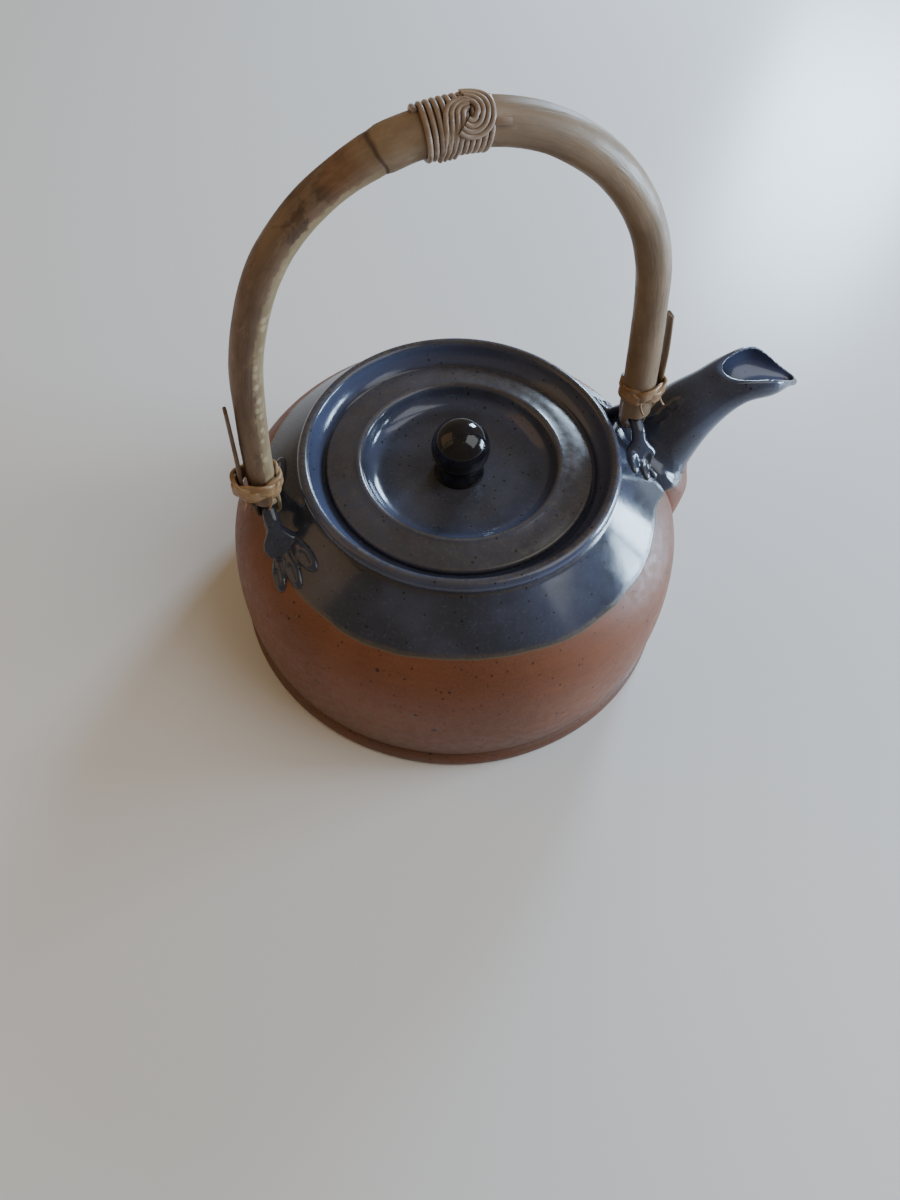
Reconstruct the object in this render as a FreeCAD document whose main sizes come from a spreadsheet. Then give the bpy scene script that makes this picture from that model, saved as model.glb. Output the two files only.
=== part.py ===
"""Stoneware teapot with a cane bail handle.

The origin is the centre of the foot's resting plane, with +Z up and +X towards the spout.
The handle stands in the XZ plane over the lid and swings about the line through both lug eyes.
"""
import FreeCAD, Part
import Sketcher
import math
import os

# Driving dimensions in millimetres and degrees.
SIZES = {
    # thrown pot: foot, wall, shoulder and rolled rim, then the lid gallery and the inner wall
    "foot_inner_r": 79.0, "foot_r": 89.6, "foot_recess_r": 77.5, "foot_recess_z": 2.2,
    "bead_r": 89.9, "bead_z": 4.6, "groove_r": 87.2, "groove_z": 6.7,
    "wall_low_r": 88.6, "wall_low_z": 9.0, "wall_top_r": 88.7, "wall_top_z": 44.0, "wall_bend": 114.0,
    "shoulder_r": 76.7, "shoulder_z": 64.4, "shoulder_bend": 32.0, "neck_r": 58.9, "neck_z": 79.5,
    "rim_r": 60.0, "rim_side_z": 82.3, "crest_r": 57.6, "crest_z": 85.1, "rim_bend": 2.9,
    "gallery_r": 51.6, "gallery_z": 76.6, "throat_r": 45.8, "throat_z": 71.8, "under_neck_r": 59.5,
    "turn_r": 73.5, "turn_z": 60.6, "turn_bend": 26.3, "hollow_r": 83.7, "hollow_z": 44.0,
    "hollow_bend": 109.0, "heel_r": 83.6, "heel_z": 16.0, "heel_bend": 9.3, "floor_r": 74.5, "floor_z": 6.8,
    # strainer drilled through the shoulder behind the spout
    "strainer_hole_r": 2.2, "strainer_pitch": 6.6, "strainer_x": 84.0, "strainer_z": 59.5,
    "strainer_depth": 30.0, "strainer_pitch_up": 45.0,
    # spout: middle line, section radius and rise of each station, wall and the slanted mouth
    "spout_root_x": 78.0, "spout_root_z": 53.5, "spout_root_r": 12.5, "spout_root_rise": 48.0,
    "spout_base_x": 88.6, "spout_base_z": 64.1, "spout_base_r": 14.8, "spout_base_rise": 46.0,
    "spout_low_x": 95.5, "spout_low_z": 75.6, "spout_low_r": 12.8, "spout_low_rise": 41.0,
    "spout_neck_x": 104.3, "spout_neck_z": 83.0, "spout_neck_r": 10.9, "spout_neck_rise": 37.0,
    "spout_mouth_x": 113.2, "spout_mouth_z": 89.2, "spout_mouth_r": 10.9, "spout_mouth_rise": 28.0,
    "spout_lip_x": 125.5, "spout_lip_z": 89.6, "spout_lip_r": 11.4, "spout_lip_rise": 4.0,
    "spout_beak_x": 136.5, "spout_beak_z": 83.6, "spout_beak_r": 5.8, "spout_beak_rise": 0.0,
    "spout_tip_x": 143.6, "spout_tip_z": 78.4, "spout_tip_r": 1.5, "spout_tip_rise": 0.0,
    "spout_wall": 2.6, "beak_back_x": 99.0, "beak_back_z": 98.5, "beak_heel_x": 109.0, "beak_heel_z": 94.8,
    "beak_side_x": 123.5, "beak_side_z": 94.0, "beak_fall_x": 134.0, "beak_fall_z": 87.4,
    "beak_tip_x": 145.5, "beak_tip_z": 78.2, "beak_clear_z": 115.0, "beak_width": 60.0,
    # lugs: a strap bent over the eye, flared into two pressed feet
    "eye_z": 73.5, "lug_back_x": -72.9, "lug_front_x": 70.7, "eye_r": 6.0, "eye_top_z": 79.5, "strap_r": 10.4,
    "strap_bend": 24.0, "strap_width": 5.0, "leg_y": 10.0, "leg_z": 76.36, "leg_foot_y": 19.0,
    "leg_foot_z": 66.0, "lug_under_z": 56.0, "lug_over_z": 84.0, "pad_root_y": 7.0, "pad_root_in": 4.2,
    "pad_root_out": 4.2, "back_mid_y": 15.0, "back_mid_in": 9.6, "back_mid_out": 4.6, "back_wide_y": 21.5,
    "back_wide_in": 12.6, "back_wide_out": 2.0, "back_toe_y": 25.4, "back_toe_in": 7.0,
    "front_mid_y": 12.0, "front_mid_in": 6.6, "front_mid_out": 5.6, "front_wide_y": 15.6,
    "front_wide_in": 7.2, "front_wide_out": 5.2, "front_toe_y": 18.4, "front_toe_in": 4.0,
    "skin_top_r": 60.58, "skin_top_z": 81.48, "skin_low_r": 78.38, "skin_low_z": 66.38,
    "skin_corner_r": 83.0, "skin_out_r": 100.0,
    # lid
    "lid_r": 49.8, "lid_seat_z": 76.8, "lid_side_z": 78.2, "lid_edge_r": 48.8, "lid_edge_z": 79.3,
    "lid_edge_bend": 1.1, "crest_out_r": 41.0, "crest_out_z": 80.7, "crest_in_r": 36.6, "crest_in_z": 80.3,
    "lid_crest_bend": 3.4, "well_r": 28.0, "well_z": 73.3, "well_bend": 8.9, "spigot_r": 44.6,
    "spigot_in_r": 41.2, "spigot_z": 66.0, "under_rise_z": 76.2, "under_r": 30.5, "under_z": 69.9,
    # knob
    "ball_r": 10.9, "knob_waist_r": 7.7, "knob_waist_z": 78.88, "collar_r": 9.4,
    "collar_z": 74.8, "collar_bend": 6.0, "knob_top_z": 97.5,
    # cane arch: tangent arcs from the rear end over the top to the front end
    "cane_r": 5.5, "cane_end_z": 84.6, "cane_end_x": -72.86, "cane_lean": 90.82,
    "arch_bend1": 529.6, "arch_turn1": 5.82, "arch_bend2": 114.1, "arch_turn2": 16.96,
    "arch_bend3": 61.4, "arch_turn3": 98.91, "arch_bend4": 80.3, "arch_turn4": 49.54,
    "arch_bend5": 661.7, "arch_turn5": 5.29,
    # skived tongue at each cane end: heights above the eye, distances outwards from the lug
    "tongue_half": 2.8, "tongue_out": 4.8, "tongue_width": 5.0, "tongue_low": 3.1, "tongue_top": 4.9,
    "tongue_bend": 2.0, "tongue_turn": 5.1, "tongue_bottom": 2.8, "tongue_in_top": 16.0,
    "kink_low": 10.8, "kink_high": 15.0, "sliver_in": 6.3, "sliver_out": 7.9, "sliver_top": 59.5,
    "sliver_back": 57.0, "rear_tip_in": 3.9, "rear_tip_out": 5.3, "front_tip_in": 2.1, "front_tip_out": 3.5,
    # braided rattan ring round the cane end and the sliver
    "ring_height": 8.0, "ring_back_x": -72.9, "ring_back_z": 94.6, "ring_front_x": 69.7,
    "ring_front_z": 97.2, "ring_in_r": 5.9, "ring_out_r": 8.3, "ring_reach": 3.2, "ring_in_end": 9.1,
    "ring_out_end": 11.5, "ring_edge": 1.1,
    # woven binding at the top of the arch, with its raised rosette
    "binding_r": 6.9, "binding_start": 83.4, "binding_sweep": 17.3, "binding_gap": 0.15,
    "rosette_r": 6.4, "rosette_half": 2.6, "rosette_x": -5.0, "rosette_y": -5.6, "rosette_rise": 2.4,
    "rosette_tilt": 57.0,
}

doc = FreeCAD.newDocument("teapot")
sheet = doc.addObject("Spreadsheet::Sheet", "sizes")
for row, (alias, number) in enumerate(SIZES.items(), start=1):
    sheet.set(f"A{row}", alias)
    sheet.set(f"B{row}", str(number))
    sheet.setAlias(f"B{row}", alias)
doc.recompute()


def size(alias):
    """One driving dimension, read back from the sheet."""
    return float(sheet.get(alias))


def point(x, y):
    """A sketch point, each coordinate an alias, an alias with a minus sign, or 0 for the axis."""
    return FreeCAD.Vector(signed(x), signed(y), 0)


def signed(alias):
    if not alias:
        return 0.0
    return -size(alias[1:]) if alias.startswith("-") else size(alias)


def new_body(label):
    body = doc.addObject("PartDesign::Body", label)
    body.Label = label
    return body


def new_sketch(body, name, role):
    """A sketch on one of the body's own origin planes."""
    sketch = body.newObject("Sketcher::SketchObject", name)
    plane = next(feature for feature in body.Origin.OriginFeatures if feature.Role == role)
    sketch.AttachmentSupport = [(plane, "")]
    sketch.MapMode = "FlatFace"
    return sketch


def bind(sketch, kind, *where, to):
    """A dimensional constraint driven by a cell of the sheet."""
    index = sketch.addConstraint(Sketcher.Constraint(kind, *where, signed(to)))
    cell = f"-sizes.{to[1:]}" if to.startswith("-") else f"sizes.{to}"
    sketch.setExpression(f"Constraints[{index}]", cell)


def arc_between(start, end, radius, left):
    """The shorter arc from start to end, its centre on the left or the right of the way."""
    half = (end - start) * 0.5
    reach = math.sqrt(radius ** 2 - half.Length ** 2)
    side = FreeCAD.Vector(-half.y, half.x, 0).normalize() * (reach if left else -reach)
    circle = Part.Circle(start + half + side, FreeCAD.Vector(0, 0, 1), radius)
    first, last = (start, end) if left else (end, start)
    return Part.ArcOfCircle(circle, circle.parameter(first), circle.parameter(last))


def outline(sketch, corners):
    """A closed outline from corners (x, y) or (x, y, bend, left), where bend leads to the next.

    A fifth entry says that the bend's centre lies on the vertical axis.
    """
    ends = []
    for i, corner in enumerate(corners):
        following = corners[(i + 1) % len(corners)]
        start = point(*corner[:2])
        end = point(*following[:2])
        if len(corner) == 2:
            edge = sketch.addGeometry(Part.LineSegment(start, end))
            ends.append((edge, 1, 2))
        else:
            edge = sketch.addGeometry(arc_between(start, end, size(corner[2]), corner[3]))
            ends.append((edge, 1, 2) if corner[3] else (edge, 2, 1))
    for i, (edge, _, last) in enumerate(ends):
        following, first, _ = ends[(i + 1) % len(ends)]
        sketch.addConstraint(Sketcher.Constraint("Coincident", edge, last, following, first))
    for corner, (edge, first, _) in zip(corners, ends):
        if corner[0]:
            bind(sketch, "DistanceX", -1, 1, edge, first, to=corner[0])
        else:
            sketch.addConstraint(Sketcher.Constraint("PointOnObject", edge, first, -2))
        if corner[1]:
            bind(sketch, "DistanceY", -1, 1, edge, first, to=corner[1])
        else:
            sketch.addConstraint(Sketcher.Constraint("PointOnObject", edge, first, -1))
        if len(corner) == 4:
            bind(sketch, "Radius", edge, to=corner[2])
        if len(corner) == 5:
            sketch.addConstraint(Sketcher.Constraint("PointOnObject", edge, 3, -2))


def turned(label, corners):
    """A body turned about the Z axis from an outline in the XZ plane."""
    body = new_body(label)
    sketch = new_sketch(body, label + "_outline", "XZ_Plane")
    outline(sketch, corners)
    turn = body.newObject("PartDesign::Revolution", label + "_turned")
    turn.Profile = sketch
    turn.ReferenceAxis = (sketch, ["V_Axis"])
    turn.Angle = 360
    doc.recompute()
    return body


# Thrown pot. The outer wall is kept apart, because the spout and the lugs are trimmed to it.
OUTER_WALL = [
    ("foot_r", 0), ("bead_r", "bead_z"), ("groove_r", "groove_z"),
    ("wall_low_r", "wall_low_z", "wall_bend", True),
    ("wall_top_r", "wall_top_z", "shoulder_bend", True),
    ("shoulder_r", "shoulder_z"), ("neck_r", "neck_z"),
]
RIM = [("rim_r", "rim_side_z", "rim_bend", True), ("crest_r", "crest_z")]
INNER_WALL = [
    ("gallery_r", "gallery_z"), ("throat_r", "gallery_z"), ("throat_r", "throat_z"),
    ("under_neck_r", "throat_z"), ("turn_r", "turn_z", "turn_bend", False),
    ("hollow_r", "hollow_z", "hollow_bend", False), ("heel_r", "heel_z", "heel_bend", False),
    ("floor_r", "floor_z"), (0, "floor_z"), (0, "foot_recess_z"),
    ("foot_recess_r", "foot_recess_z"), ("foot_inner_r", 0),
]
pot_body = turned("pot_body", OUTER_WALL + RIM + INNER_WALL)


def tilted_plane(sketch, x, z, rise):
    """Move a YZ sketch to a point of the XZ plane and tip its normal up by an angle."""
    sketch.AttachmentOffset = FreeCAD.Placement(
        FreeCAD.Vector(0, size(z), size(x)), FreeCAD.Rotation(FreeCAD.Vector(1, 0, 0), -size(rise)))
    sketch.setExpression("AttachmentOffset.Base.y", f"sizes.{z}")
    sketch.setExpression("AttachmentOffset.Base.z", f"sizes.{x}")


def strainer(body):
    """Seven holes through the shoulder, one in the middle and six in a ring, behind the spout."""
    sketch = new_sketch(body, "strainer_holes", "YZ_Plane")
    tilted_plane(sketch, "strainer_x", "strainer_z", "strainer_pitch_up")
    pitch = size("strainer_pitch")
    centres = [FreeCAD.Vector(0, 0, 0)]
    for i in range(6):
        angle = math.radians(60 * i)
        centres.append(FreeCAD.Vector(pitch * math.cos(angle), pitch * math.sin(angle), 0))
    for centre in centres:
        hole = sketch.addGeometry(Part.Circle(centre, FreeCAD.Vector(0, 0, 1), size("strainer_hole_r")))
        sketch.addConstraint(Sketcher.Constraint("DistanceX", -1, 1, hole, 3, centre.x))
        sketch.addConstraint(Sketcher.Constraint("DistanceY", -1, 1, hole, 3, centre.y))
        bind(sketch, "Radius", hole, to="strainer_hole_r")
    doc.recompute()
    drilled = body.newObject("PartDesign::Pocket", "strainer")
    drilled.Profile = sketch
    drilled.Midplane = True
    drilled.setExpression("Length", "sizes.strainer_depth")
    doc.recompute()


strainer(pot_body)


def trim_to_pot(body):
    """Cut away whatever lies inside the pot's outer wall."""
    sketch = new_sketch(body, body.Label + "_seat", "XZ_Plane")
    outline(sketch, [(0, 0)] + OUTER_WALL + [(0, "neck_z")])
    doc.recompute()
    seat = body.newObject("PartDesign::Groove", body.Label + "_trimmed")
    seat.Profile = sketch
    seat.ReferenceAxis = (sketch, ["V_Axis"])
    seat.Angle = 360
    doc.recompute()


# Spout: a thrown tube that narrows and ends in an open beak.
STATIONS = ["root", "base", "low", "neck", "mouth", "lip", "beak", "tip"]


def spout_sections(body, side, stations, inset):
    """One round section for each station, square to the spout's middle line."""
    sections = []
    for station in stations:
        place = "spout_" + station
        sketch = new_sketch(body, f"{side}_{station}", "YZ_Plane")
        tilted_plane(sketch, place + "_x", place + "_z", place + "_rise")
        radius = size(place + "_r") - inset * size("spout_wall")
        circle = Part.Circle(FreeCAD.Vector(0, 0, 0), FreeCAD.Vector(0, 0, 1), radius)
        section = sketch.addGeometry(circle)
        sketch.addConstraint(Sketcher.Constraint("Coincident", section, 3, -1, 1))
        index = sketch.addConstraint(Sketcher.Constraint("Radius", section, radius))
        sketch.setExpression(f"Constraints[{index}]", f"sizes.{place}_r - {inset} * sizes.spout_wall")
        sections.append(sketch)
    doc.recompute()
    return sections


def make_spout():
    body = new_body("spout")
    outer = spout_sections(body, "outer", STATIONS, 0)
    skin = body.newObject("PartDesign::AdditiveLoft", "spout_skin")
    skin.Profile = outer[0]
    skin.Sections = outer[1:]
    doc.recompute()
    inner = spout_sections(body, "inner", STATIONS[:-1], 1)
    channel = body.newObject("PartDesign::SubtractiveLoft", "spout_channel")
    channel.Profile = inner[0]
    channel.Sections = inner[1:]
    doc.recompute()
    trim_to_pot(body)
    sketch = new_sketch(body, "beak_line", "XZ_Plane")
    outline(sketch, [
        ("beak_back_x", "beak_back_z"), ("beak_heel_x", "beak_heel_z"), ("beak_side_x", "beak_side_z"),
        ("beak_fall_x", "beak_fall_z"), ("beak_tip_x", "beak_tip_z"),
        ("beak_tip_x", "beak_clear_z"), ("beak_back_x", "beak_clear_z")])
    doc.recompute()
    beak = body.newObject("PartDesign::Pocket", "beak")
    beak.Profile = sketch
    beak.Midplane = True
    beak.setExpression("Length", "sizes.beak_width")
    doc.recompute()
    return body


spout = make_spout()


# Lugs: each is a strap over the eye that flares into two feet on the shoulder.
def shift(sketch, axis, alias):
    """Slide a sketch along one of its own axes by a size from the sheet."""
    sketch.setExpression(f"AttachmentOffset.Base.{axis}", f"sizes.{alias}")


def make_lug(label, place, outside):
    """One lug. Its feet lie on the shoulder, one skin thick, and spread towards the rim."""
    lug_x = f"lug_{place}_x"
    body = new_body(label)
    inside = "" if outside else "-"
    for name, sign in (("near", "-"), ("far", "")):
        pad = new_sketch(body, f"{label}_{name}_foot", "XY_Plane")
        outline(pad, [
            (outside + "pad_root_out", sign + "pad_root_y"),
            (f"{outside}{place}_mid_out", f"{sign}{place}_mid_y"),
            (f"{outside}{place}_wide_out", f"{sign}{place}_wide_y"), (0, f"{sign}{place}_toe_y"),
            (f"{inside}{place}_toe_in", f"{sign}{place}_toe_y"),
            (f"{inside}{place}_wide_in", f"{sign}{place}_wide_y"),
            (f"{inside}{place}_mid_in", f"{sign}{place}_mid_y"), (inside + "pad_root_in", sign + "pad_root_y")])
        shift(pad, "x", lug_x)
        shift(pad, "z", "lug_under_z")
        doc.recompute()
        foot = body.newObject("PartDesign::Pad", f"{label}_{name}_pad")
        foot.Profile = pad
        foot.setExpression("Length", "sizes.lug_over_z - sizes.lug_under_z")
        doc.recompute()
    skin = new_sketch(body, label + "_skin", "XZ_Plane")
    outline(skin, [
        ("skin_top_r", "skin_top_z"), ("skin_low_r", "skin_low_z"), ("skin_corner_r", "lug_under_z"),
        ("skin_out_r", "lug_under_z"), ("skin_out_r", "lug_over_z"), ("skin_top_r", "lug_over_z")])
    doc.recompute()
    thin = body.newObject("PartDesign::Groove", label + "_thinned")
    thin.Profile = skin
    thin.ReferenceAxis = (skin, ["V_Axis"])
    thin.Angle = 360
    doc.recompute()
    side = new_sketch(body, label + "_side", "YZ_Plane")
    outline(side, [
        ("eye_r", "lug_under_z"), ("leg_foot_y", "lug_under_z"),
        ("leg_foot_y", "leg_foot_z", "strap_bend", False), ("leg_y", "leg_z", "strap_r", True),
        ("-leg_y", "leg_z", "strap_bend", False), ("-leg_foot_y", "leg_foot_z"),
        ("-leg_foot_y", "lug_under_z"), ("-eye_r", "lug_under_z"), ("-eye_r", "eye_z", "eye_r", False),
        (0, "eye_top_z", "eye_r", False), ("eye_r", "eye_z")])
    shift(side, "z", lug_x)
    doc.recompute()
    strap = body.newObject("PartDesign::Pad", label + "_strap")
    strap.Profile = side
    strap.Midplane = True
    strap.setExpression("Length", "sizes.strap_width")
    doc.recompute()
    trim_to_pot(body)
    return body


lug_back = make_lug("lug_back", "back", "-")
lug_front = make_lug("lug_front", "front", "")

# Lid with its sunk well and its locating spigot, and the knob that stands in the well.
lid = turned("lid", [
    (0, "well_z"), (0, "under_z"), ("under_r", "under_z"), ("spigot_in_r", "under_rise_z"),
    ("spigot_in_r", "spigot_z"), ("spigot_r", "spigot_z"), ("spigot_r", "lid_seat_z"),
    ("lid_r", "lid_seat_z"), ("lid_r", "lid_side_z", "lid_edge_bend", True),
    ("lid_edge_r", "lid_edge_z"), ("crest_out_r", "crest_out_z", "lid_crest_bend", True),
    ("crest_in_r", "crest_in_z", "well_bend", False), ("well_r", "well_z")])
lid_knob = turned("lid_knob", [
    (0, "well_z"), ("collar_r", "well_z"), ("collar_r", "collar_z", "collar_bend", False),
    ("knob_waist_r", "knob_waist_z", "ball_r", True, "centred"), (0, "knob_top_z")])


# Cane handle: tangent arcs, each given by its radius and the angle it turns through.
def arch_arcs():
    """The arcs of the arch, in order, as (centre, radius, first angle, turn) in the XZ plane."""
    x = size("cane_end_x")
    z = size("cane_end_z")
    heading = math.radians(size("cane_lean"))
    arcs = []
    for i in range(1, 6):
        radius = size(f"arch_bend{i}")
        turn = math.radians(size(f"arch_turn{i}"))
        centre = FreeCAD.Vector(x + radius * math.sin(heading), z - radius * math.cos(heading), 0)
        arcs.append((centre, radius, heading + math.pi / 2, turn))
        heading -= turn
        x = centre.x - radius * math.sin(heading)
        z = centre.y + radius * math.cos(heading)
    return arcs


def make_cane():
    body = new_body("handle_cane")
    path = new_sketch(body, "arch_line", "XZ_Plane")
    for i, (centre, radius, first, turn) in enumerate(arch_arcs()):
        circle = Part.Circle(centre, FreeCAD.Vector(0, 0, 1), radius)
        arc = path.addGeometry(Part.ArcOfCircle(circle, first - turn, first))
        if i:
            path.addConstraint(Sketcher.Constraint("Tangent", arc - 1, 1, arc, 2))
        bind(path, "Radius", arc, to=f"arch_bend{i + 1}")
    bind(path, "DistanceX", -1, 1, 0, 2, to="cane_end_x")
    bind(path, "DistanceY", -1, 1, 0, 2, to="cane_end_z")
    doc.recompute()
    section = new_sketch(body, "cane_section", "XY_Plane")
    circle = Part.Circle(FreeCAD.Vector(0, 0, 0), FreeCAD.Vector(0, 0, 1), size("cane_r"))
    ring = section.addGeometry(circle)
    section.addConstraint(Sketcher.Constraint("Coincident", ring, 3, -1, 1))
    bind(section, "Radius", ring, to="cane_r")
    shift(section, "x", "cane_end_x")
    shift(section, "z", "cane_end_z")
    doc.recompute()
    arch = body.newObject("PartDesign::AdditivePipe", "arch")
    arch.Profile = section
    arch.Spine = (path, [])
    doc.recompute()
    return body


handle_cane = make_cane()


def add_tongue(name, lug_x, outside, tip):
    """The skived end of the cane: down beside the lug, through its eye and up outside the cane."""
    sketch = new_sketch(handle_cane, name + "_side", "XZ_Plane")
    inside = "" if outside else "-"
    left = not outside
    outline(sketch, [
        (inside + "tongue_out", "tongue_in_top"),
        (inside + "tongue_out", "tongue_turn", "tongue_bend", left),
        (inside + "tongue_bottom", "tongue_low"),
        (outside + "tongue_bottom", "tongue_low", "tongue_bend", left),
        (outside + "tongue_out", "tongue_turn"), (outside + "tongue_out", "kink_low"),
        (outside + "sliver_out", "kink_high"), (outside + tip + "_out", "sliver_top"),
        (outside + tip + "_in", "sliver_back"), (outside + "sliver_in", "kink_high"),
        (outside + "tongue_half", "kink_low"), (outside + "tongue_half", "tongue_top"),
        (inside + "tongue_half", "tongue_top"), (inside + "tongue_half", "tongue_in_top")])
    shift(sketch, "x", lug_x)
    shift(sketch, "y", "eye_z")
    doc.recompute()
    tongue = handle_cane.newObject("PartDesign::Pad", name)
    tongue.Profile = sketch
    tongue.Midplane = True
    tongue.setExpression("Length", "sizes.tongue_width")
    doc.recompute()


add_tongue("rear_tongue", "lug_back_x", "-", "rear_tip")
add_tongue("front_tongue", "lug_front_x", "", "front_tip")


def make_ring(label, place, outside):
    """A braided ring with rounded ends, tied round the cane end and the sliver beside it."""
    body = new_body(label)
    sketch = new_sketch(body, label + "_plan", "XY_Plane")
    inside = "" if outside else "-"
    left = not outside
    for radius, end in (("ring_out_r", "ring_out_end"), ("ring_in_r", "ring_in_end")):
        outline(sketch, [
            (0, "-" + radius), (outside + "ring_reach", "-" + radius, radius, left),
            (outside + end, 0, radius, left), (outside + "ring_reach", radius),
            (0, radius, radius, left), (inside + radius, 0, radius, left)])
    shift(sketch, "x", f"ring_{place}_x")
    shift(sketch, "z", f"ring_{place}_z")
    doc.recompute()
    band = body.newObject("PartDesign::Pad", label + "_band")
    band.Profile = sketch
    band.Midplane = True
    band.setExpression("Length", "sizes.ring_height")
    doc.recompute()
    rounded = body.newObject("PartDesign::Fillet", label + "_rounded")
    rounded.Base = (band, [f"Edge{i}" for i, edge in enumerate(band.Shape.Edges, start=1) if is_level(edge)])
    rounded.setExpression("Radius", "sizes.ring_edge")
    doc.recompute()
    return body


def is_level(edge):
    """Whether an edge lies at one height, as the ring's upper and lower edges do."""
    return edge.BoundBox.ZLength < 0.01


rattan_ring_back = make_ring("rattan_ring_back", "back", "-")
rattan_ring_front = make_ring("rattan_ring_front", "front", "")


def make_top_knot():
    """A woven sleeve round the top of the arch, with a raised rosette on its -Y side."""
    centre, bend, _, _ = arch_arcs()[2]
    hub = FreeCAD.Vector(centre.x, 0, centre.y)
    sleeve = doc.addObject("Part::Torus", "binding")
    bore = doc.addObject("Part::Torus", "binding_bore")
    for ring in (sleeve, bore):
        ring.setExpression("Radius1", "sizes.arch_bend3")
    sleeve.setExpression("Radius2", "sizes.binding_r")
    sleeve.setExpression("Angle3", "sizes.binding_sweep")
    bore.setExpression("Radius2", "sizes.cane_r + sizes.binding_gap")
    upright = FreeCAD.Rotation(FreeCAD.Vector(1, 0, 0), 90)
    start = FreeCAD.Rotation(FreeCAD.Vector(0, 1, 0), -size("binding_start"))
    sleeve.Placement = FreeCAD.Placement(hub, start * upright)
    bore.Placement = FreeCAD.Placement(hub, upright)
    rosette = doc.addObject("Part::Ellipsoid", "rosette")
    rosette.setExpression("Radius1", "sizes.rosette_half")
    rosette.setExpression("Radius2", "sizes.rosette_r")
    rosette.setExpression("Radius3", "sizes.rosette_r")
    middle = FreeCAD.Vector(
        size("rosette_x"), size("rosette_y"), hub.z + bend + size("rosette_rise"))
    rosette.Placement = FreeCAD.Placement(
        middle, FreeCAD.Rotation(FreeCAD.Vector(1, 0, 0), size("rosette_tilt")))
    woven = doc.addObject("Part::Fuse", "woven")
    woven.Base = sleeve
    woven.Tool = rosette
    knot = doc.addObject("Part::Cut", "top_knot")
    knot.Base = woven
    knot.Tool = bore
    knot.Label = "top_knot"
    doc.recompute()
    return knot


top_knot = make_top_knot()


pieces = [
    pot_body, spout, lug_back, lug_front, lid, lid_knob,
    handle_cane, rattan_ring_back, rattan_ring_front, top_knot]
for item in doc.Objects:
    if "Invalid" in item.State or "Error" in item.State:
        raise RuntimeError(f"{item.Label} failed: {item.State}")
for piece in pieces:
    if piece.Shape.isNull() or not piece.Shape.isValid():
        raise RuntimeError(f"{piece.Label} has no valid shape")

os.makedirs("parts", exist_ok=True)
for piece in pieces:
    piece.Shape.exportStep(f"parts/{piece.Label}.step")
    print(piece.Label, len(piece.Shape.Solids), round(piece.Shape.Volume), piece.Shape.BoundBox)
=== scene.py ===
import math

import bpy
from mathutils import Matrix, Vector


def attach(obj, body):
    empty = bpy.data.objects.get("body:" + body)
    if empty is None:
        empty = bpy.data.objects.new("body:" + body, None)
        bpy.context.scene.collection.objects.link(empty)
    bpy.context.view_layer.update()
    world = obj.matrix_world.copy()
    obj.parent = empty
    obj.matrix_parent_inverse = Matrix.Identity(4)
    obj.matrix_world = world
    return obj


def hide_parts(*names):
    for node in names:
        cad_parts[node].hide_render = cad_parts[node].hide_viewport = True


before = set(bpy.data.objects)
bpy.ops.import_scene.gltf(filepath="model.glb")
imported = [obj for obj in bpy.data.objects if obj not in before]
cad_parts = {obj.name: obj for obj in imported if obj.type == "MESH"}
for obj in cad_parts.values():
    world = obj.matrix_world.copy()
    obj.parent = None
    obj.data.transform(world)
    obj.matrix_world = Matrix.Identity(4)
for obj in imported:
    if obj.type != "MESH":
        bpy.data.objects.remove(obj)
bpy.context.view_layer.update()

# ------------------------------------------------------------------------------------------------
# View, table and light. The pot stands on a pale, slightly glossy table and is seen from above,
# over the near side of the rear lug, with tall windows to the right and a dimmer room on the left.

MM = 0.001
EYE_POINT = Vector((-82.55, -204.31, 339.16)) * MM
EYE_FORWARD = Vector((0.19484, 0.48386, -0.85318)).normalized()
EYE_UP = Vector((0.25745, 0.81412, 0.52051))
LENS_MM = 27.03
SENSOR_MM = 36.0
WINDOW_REACH = 1.15
WINDOW_WIDE = 0.24
WINDOW_COLOUR = (0.58, 0.78, 1.0)


def add_view():
    right = EYE_FORWARD.cross(EYE_UP).normalized()
    up = right.cross(EYE_FORWARD)
    turn = Matrix((right, up, -EYE_FORWARD)).transposed()
    bpy.ops.object.camera_add(location=EYE_POINT, rotation=turn.to_euler())
    eye = bpy.context.object
    eye.data.lens = LENS_MM
    eye.data.sensor_width = SENSOR_MM
    eye.data.sensor_fit = "AUTO"
    eye.data.clip_start = 0.01
    bpy.context.scene.camera = eye


def new_material(name):
    """An empty Principled material, with its node tree and its shader."""
    material = bpy.data.materials.new(name)
    material.use_nodes = True
    tree = material.node_tree
    return material, tree, tree.nodes["Principled BSDF"]


def node(tree, kind, **values):
    """A shader node; values are inputs by name, or the node's own settings in lower case."""
    made = tree.nodes.new("ShaderNode" + kind)
    for key, value in values.items():
        if key[0].islower():
            setattr(made, key, value)
        else:
            made.inputs[key.replace("_", " ")].default_value = value
    return made


def link(tree, source, target):
    tree.links.new(source, target)


def deselect_all():
    bpy.ops.object.select_all(action="DESELECT")


def add_table():
    deselect_all()
    bpy.ops.mesh.primitive_plane_add(size=3.0, location=(0, 0, 0))
    table = bpy.context.object
    table.name = "table_top"
    material, tree, shader = new_material("pale_table")
    shader.inputs["Base Color"].default_value = (0.80, 0.80, 0.80, 1)
    shader.inputs["Roughness"].default_value = 0.30
    shader.inputs["Specular IOR Level"].default_value = 0.35
    table.data.materials.append(material)


def add_area(name, place, aim, size, power, colour):
    """A soft window: a rectangle of light that faces the pot."""
    bpy.ops.object.light_add(type="AREA", location=place)
    lamp = bpy.context.object
    lamp.name = name
    lamp.data.shape = "RECTANGLE"
    lamp.data.size = size[0]
    lamp.data.size_y = size[1]
    lamp.data.energy = power
    lamp.data.color = colour
    lamp.rotation_euler = (Vector(aim) - Vector(place)).to_track_quat("-Z", "Y").to_euler()


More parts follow.
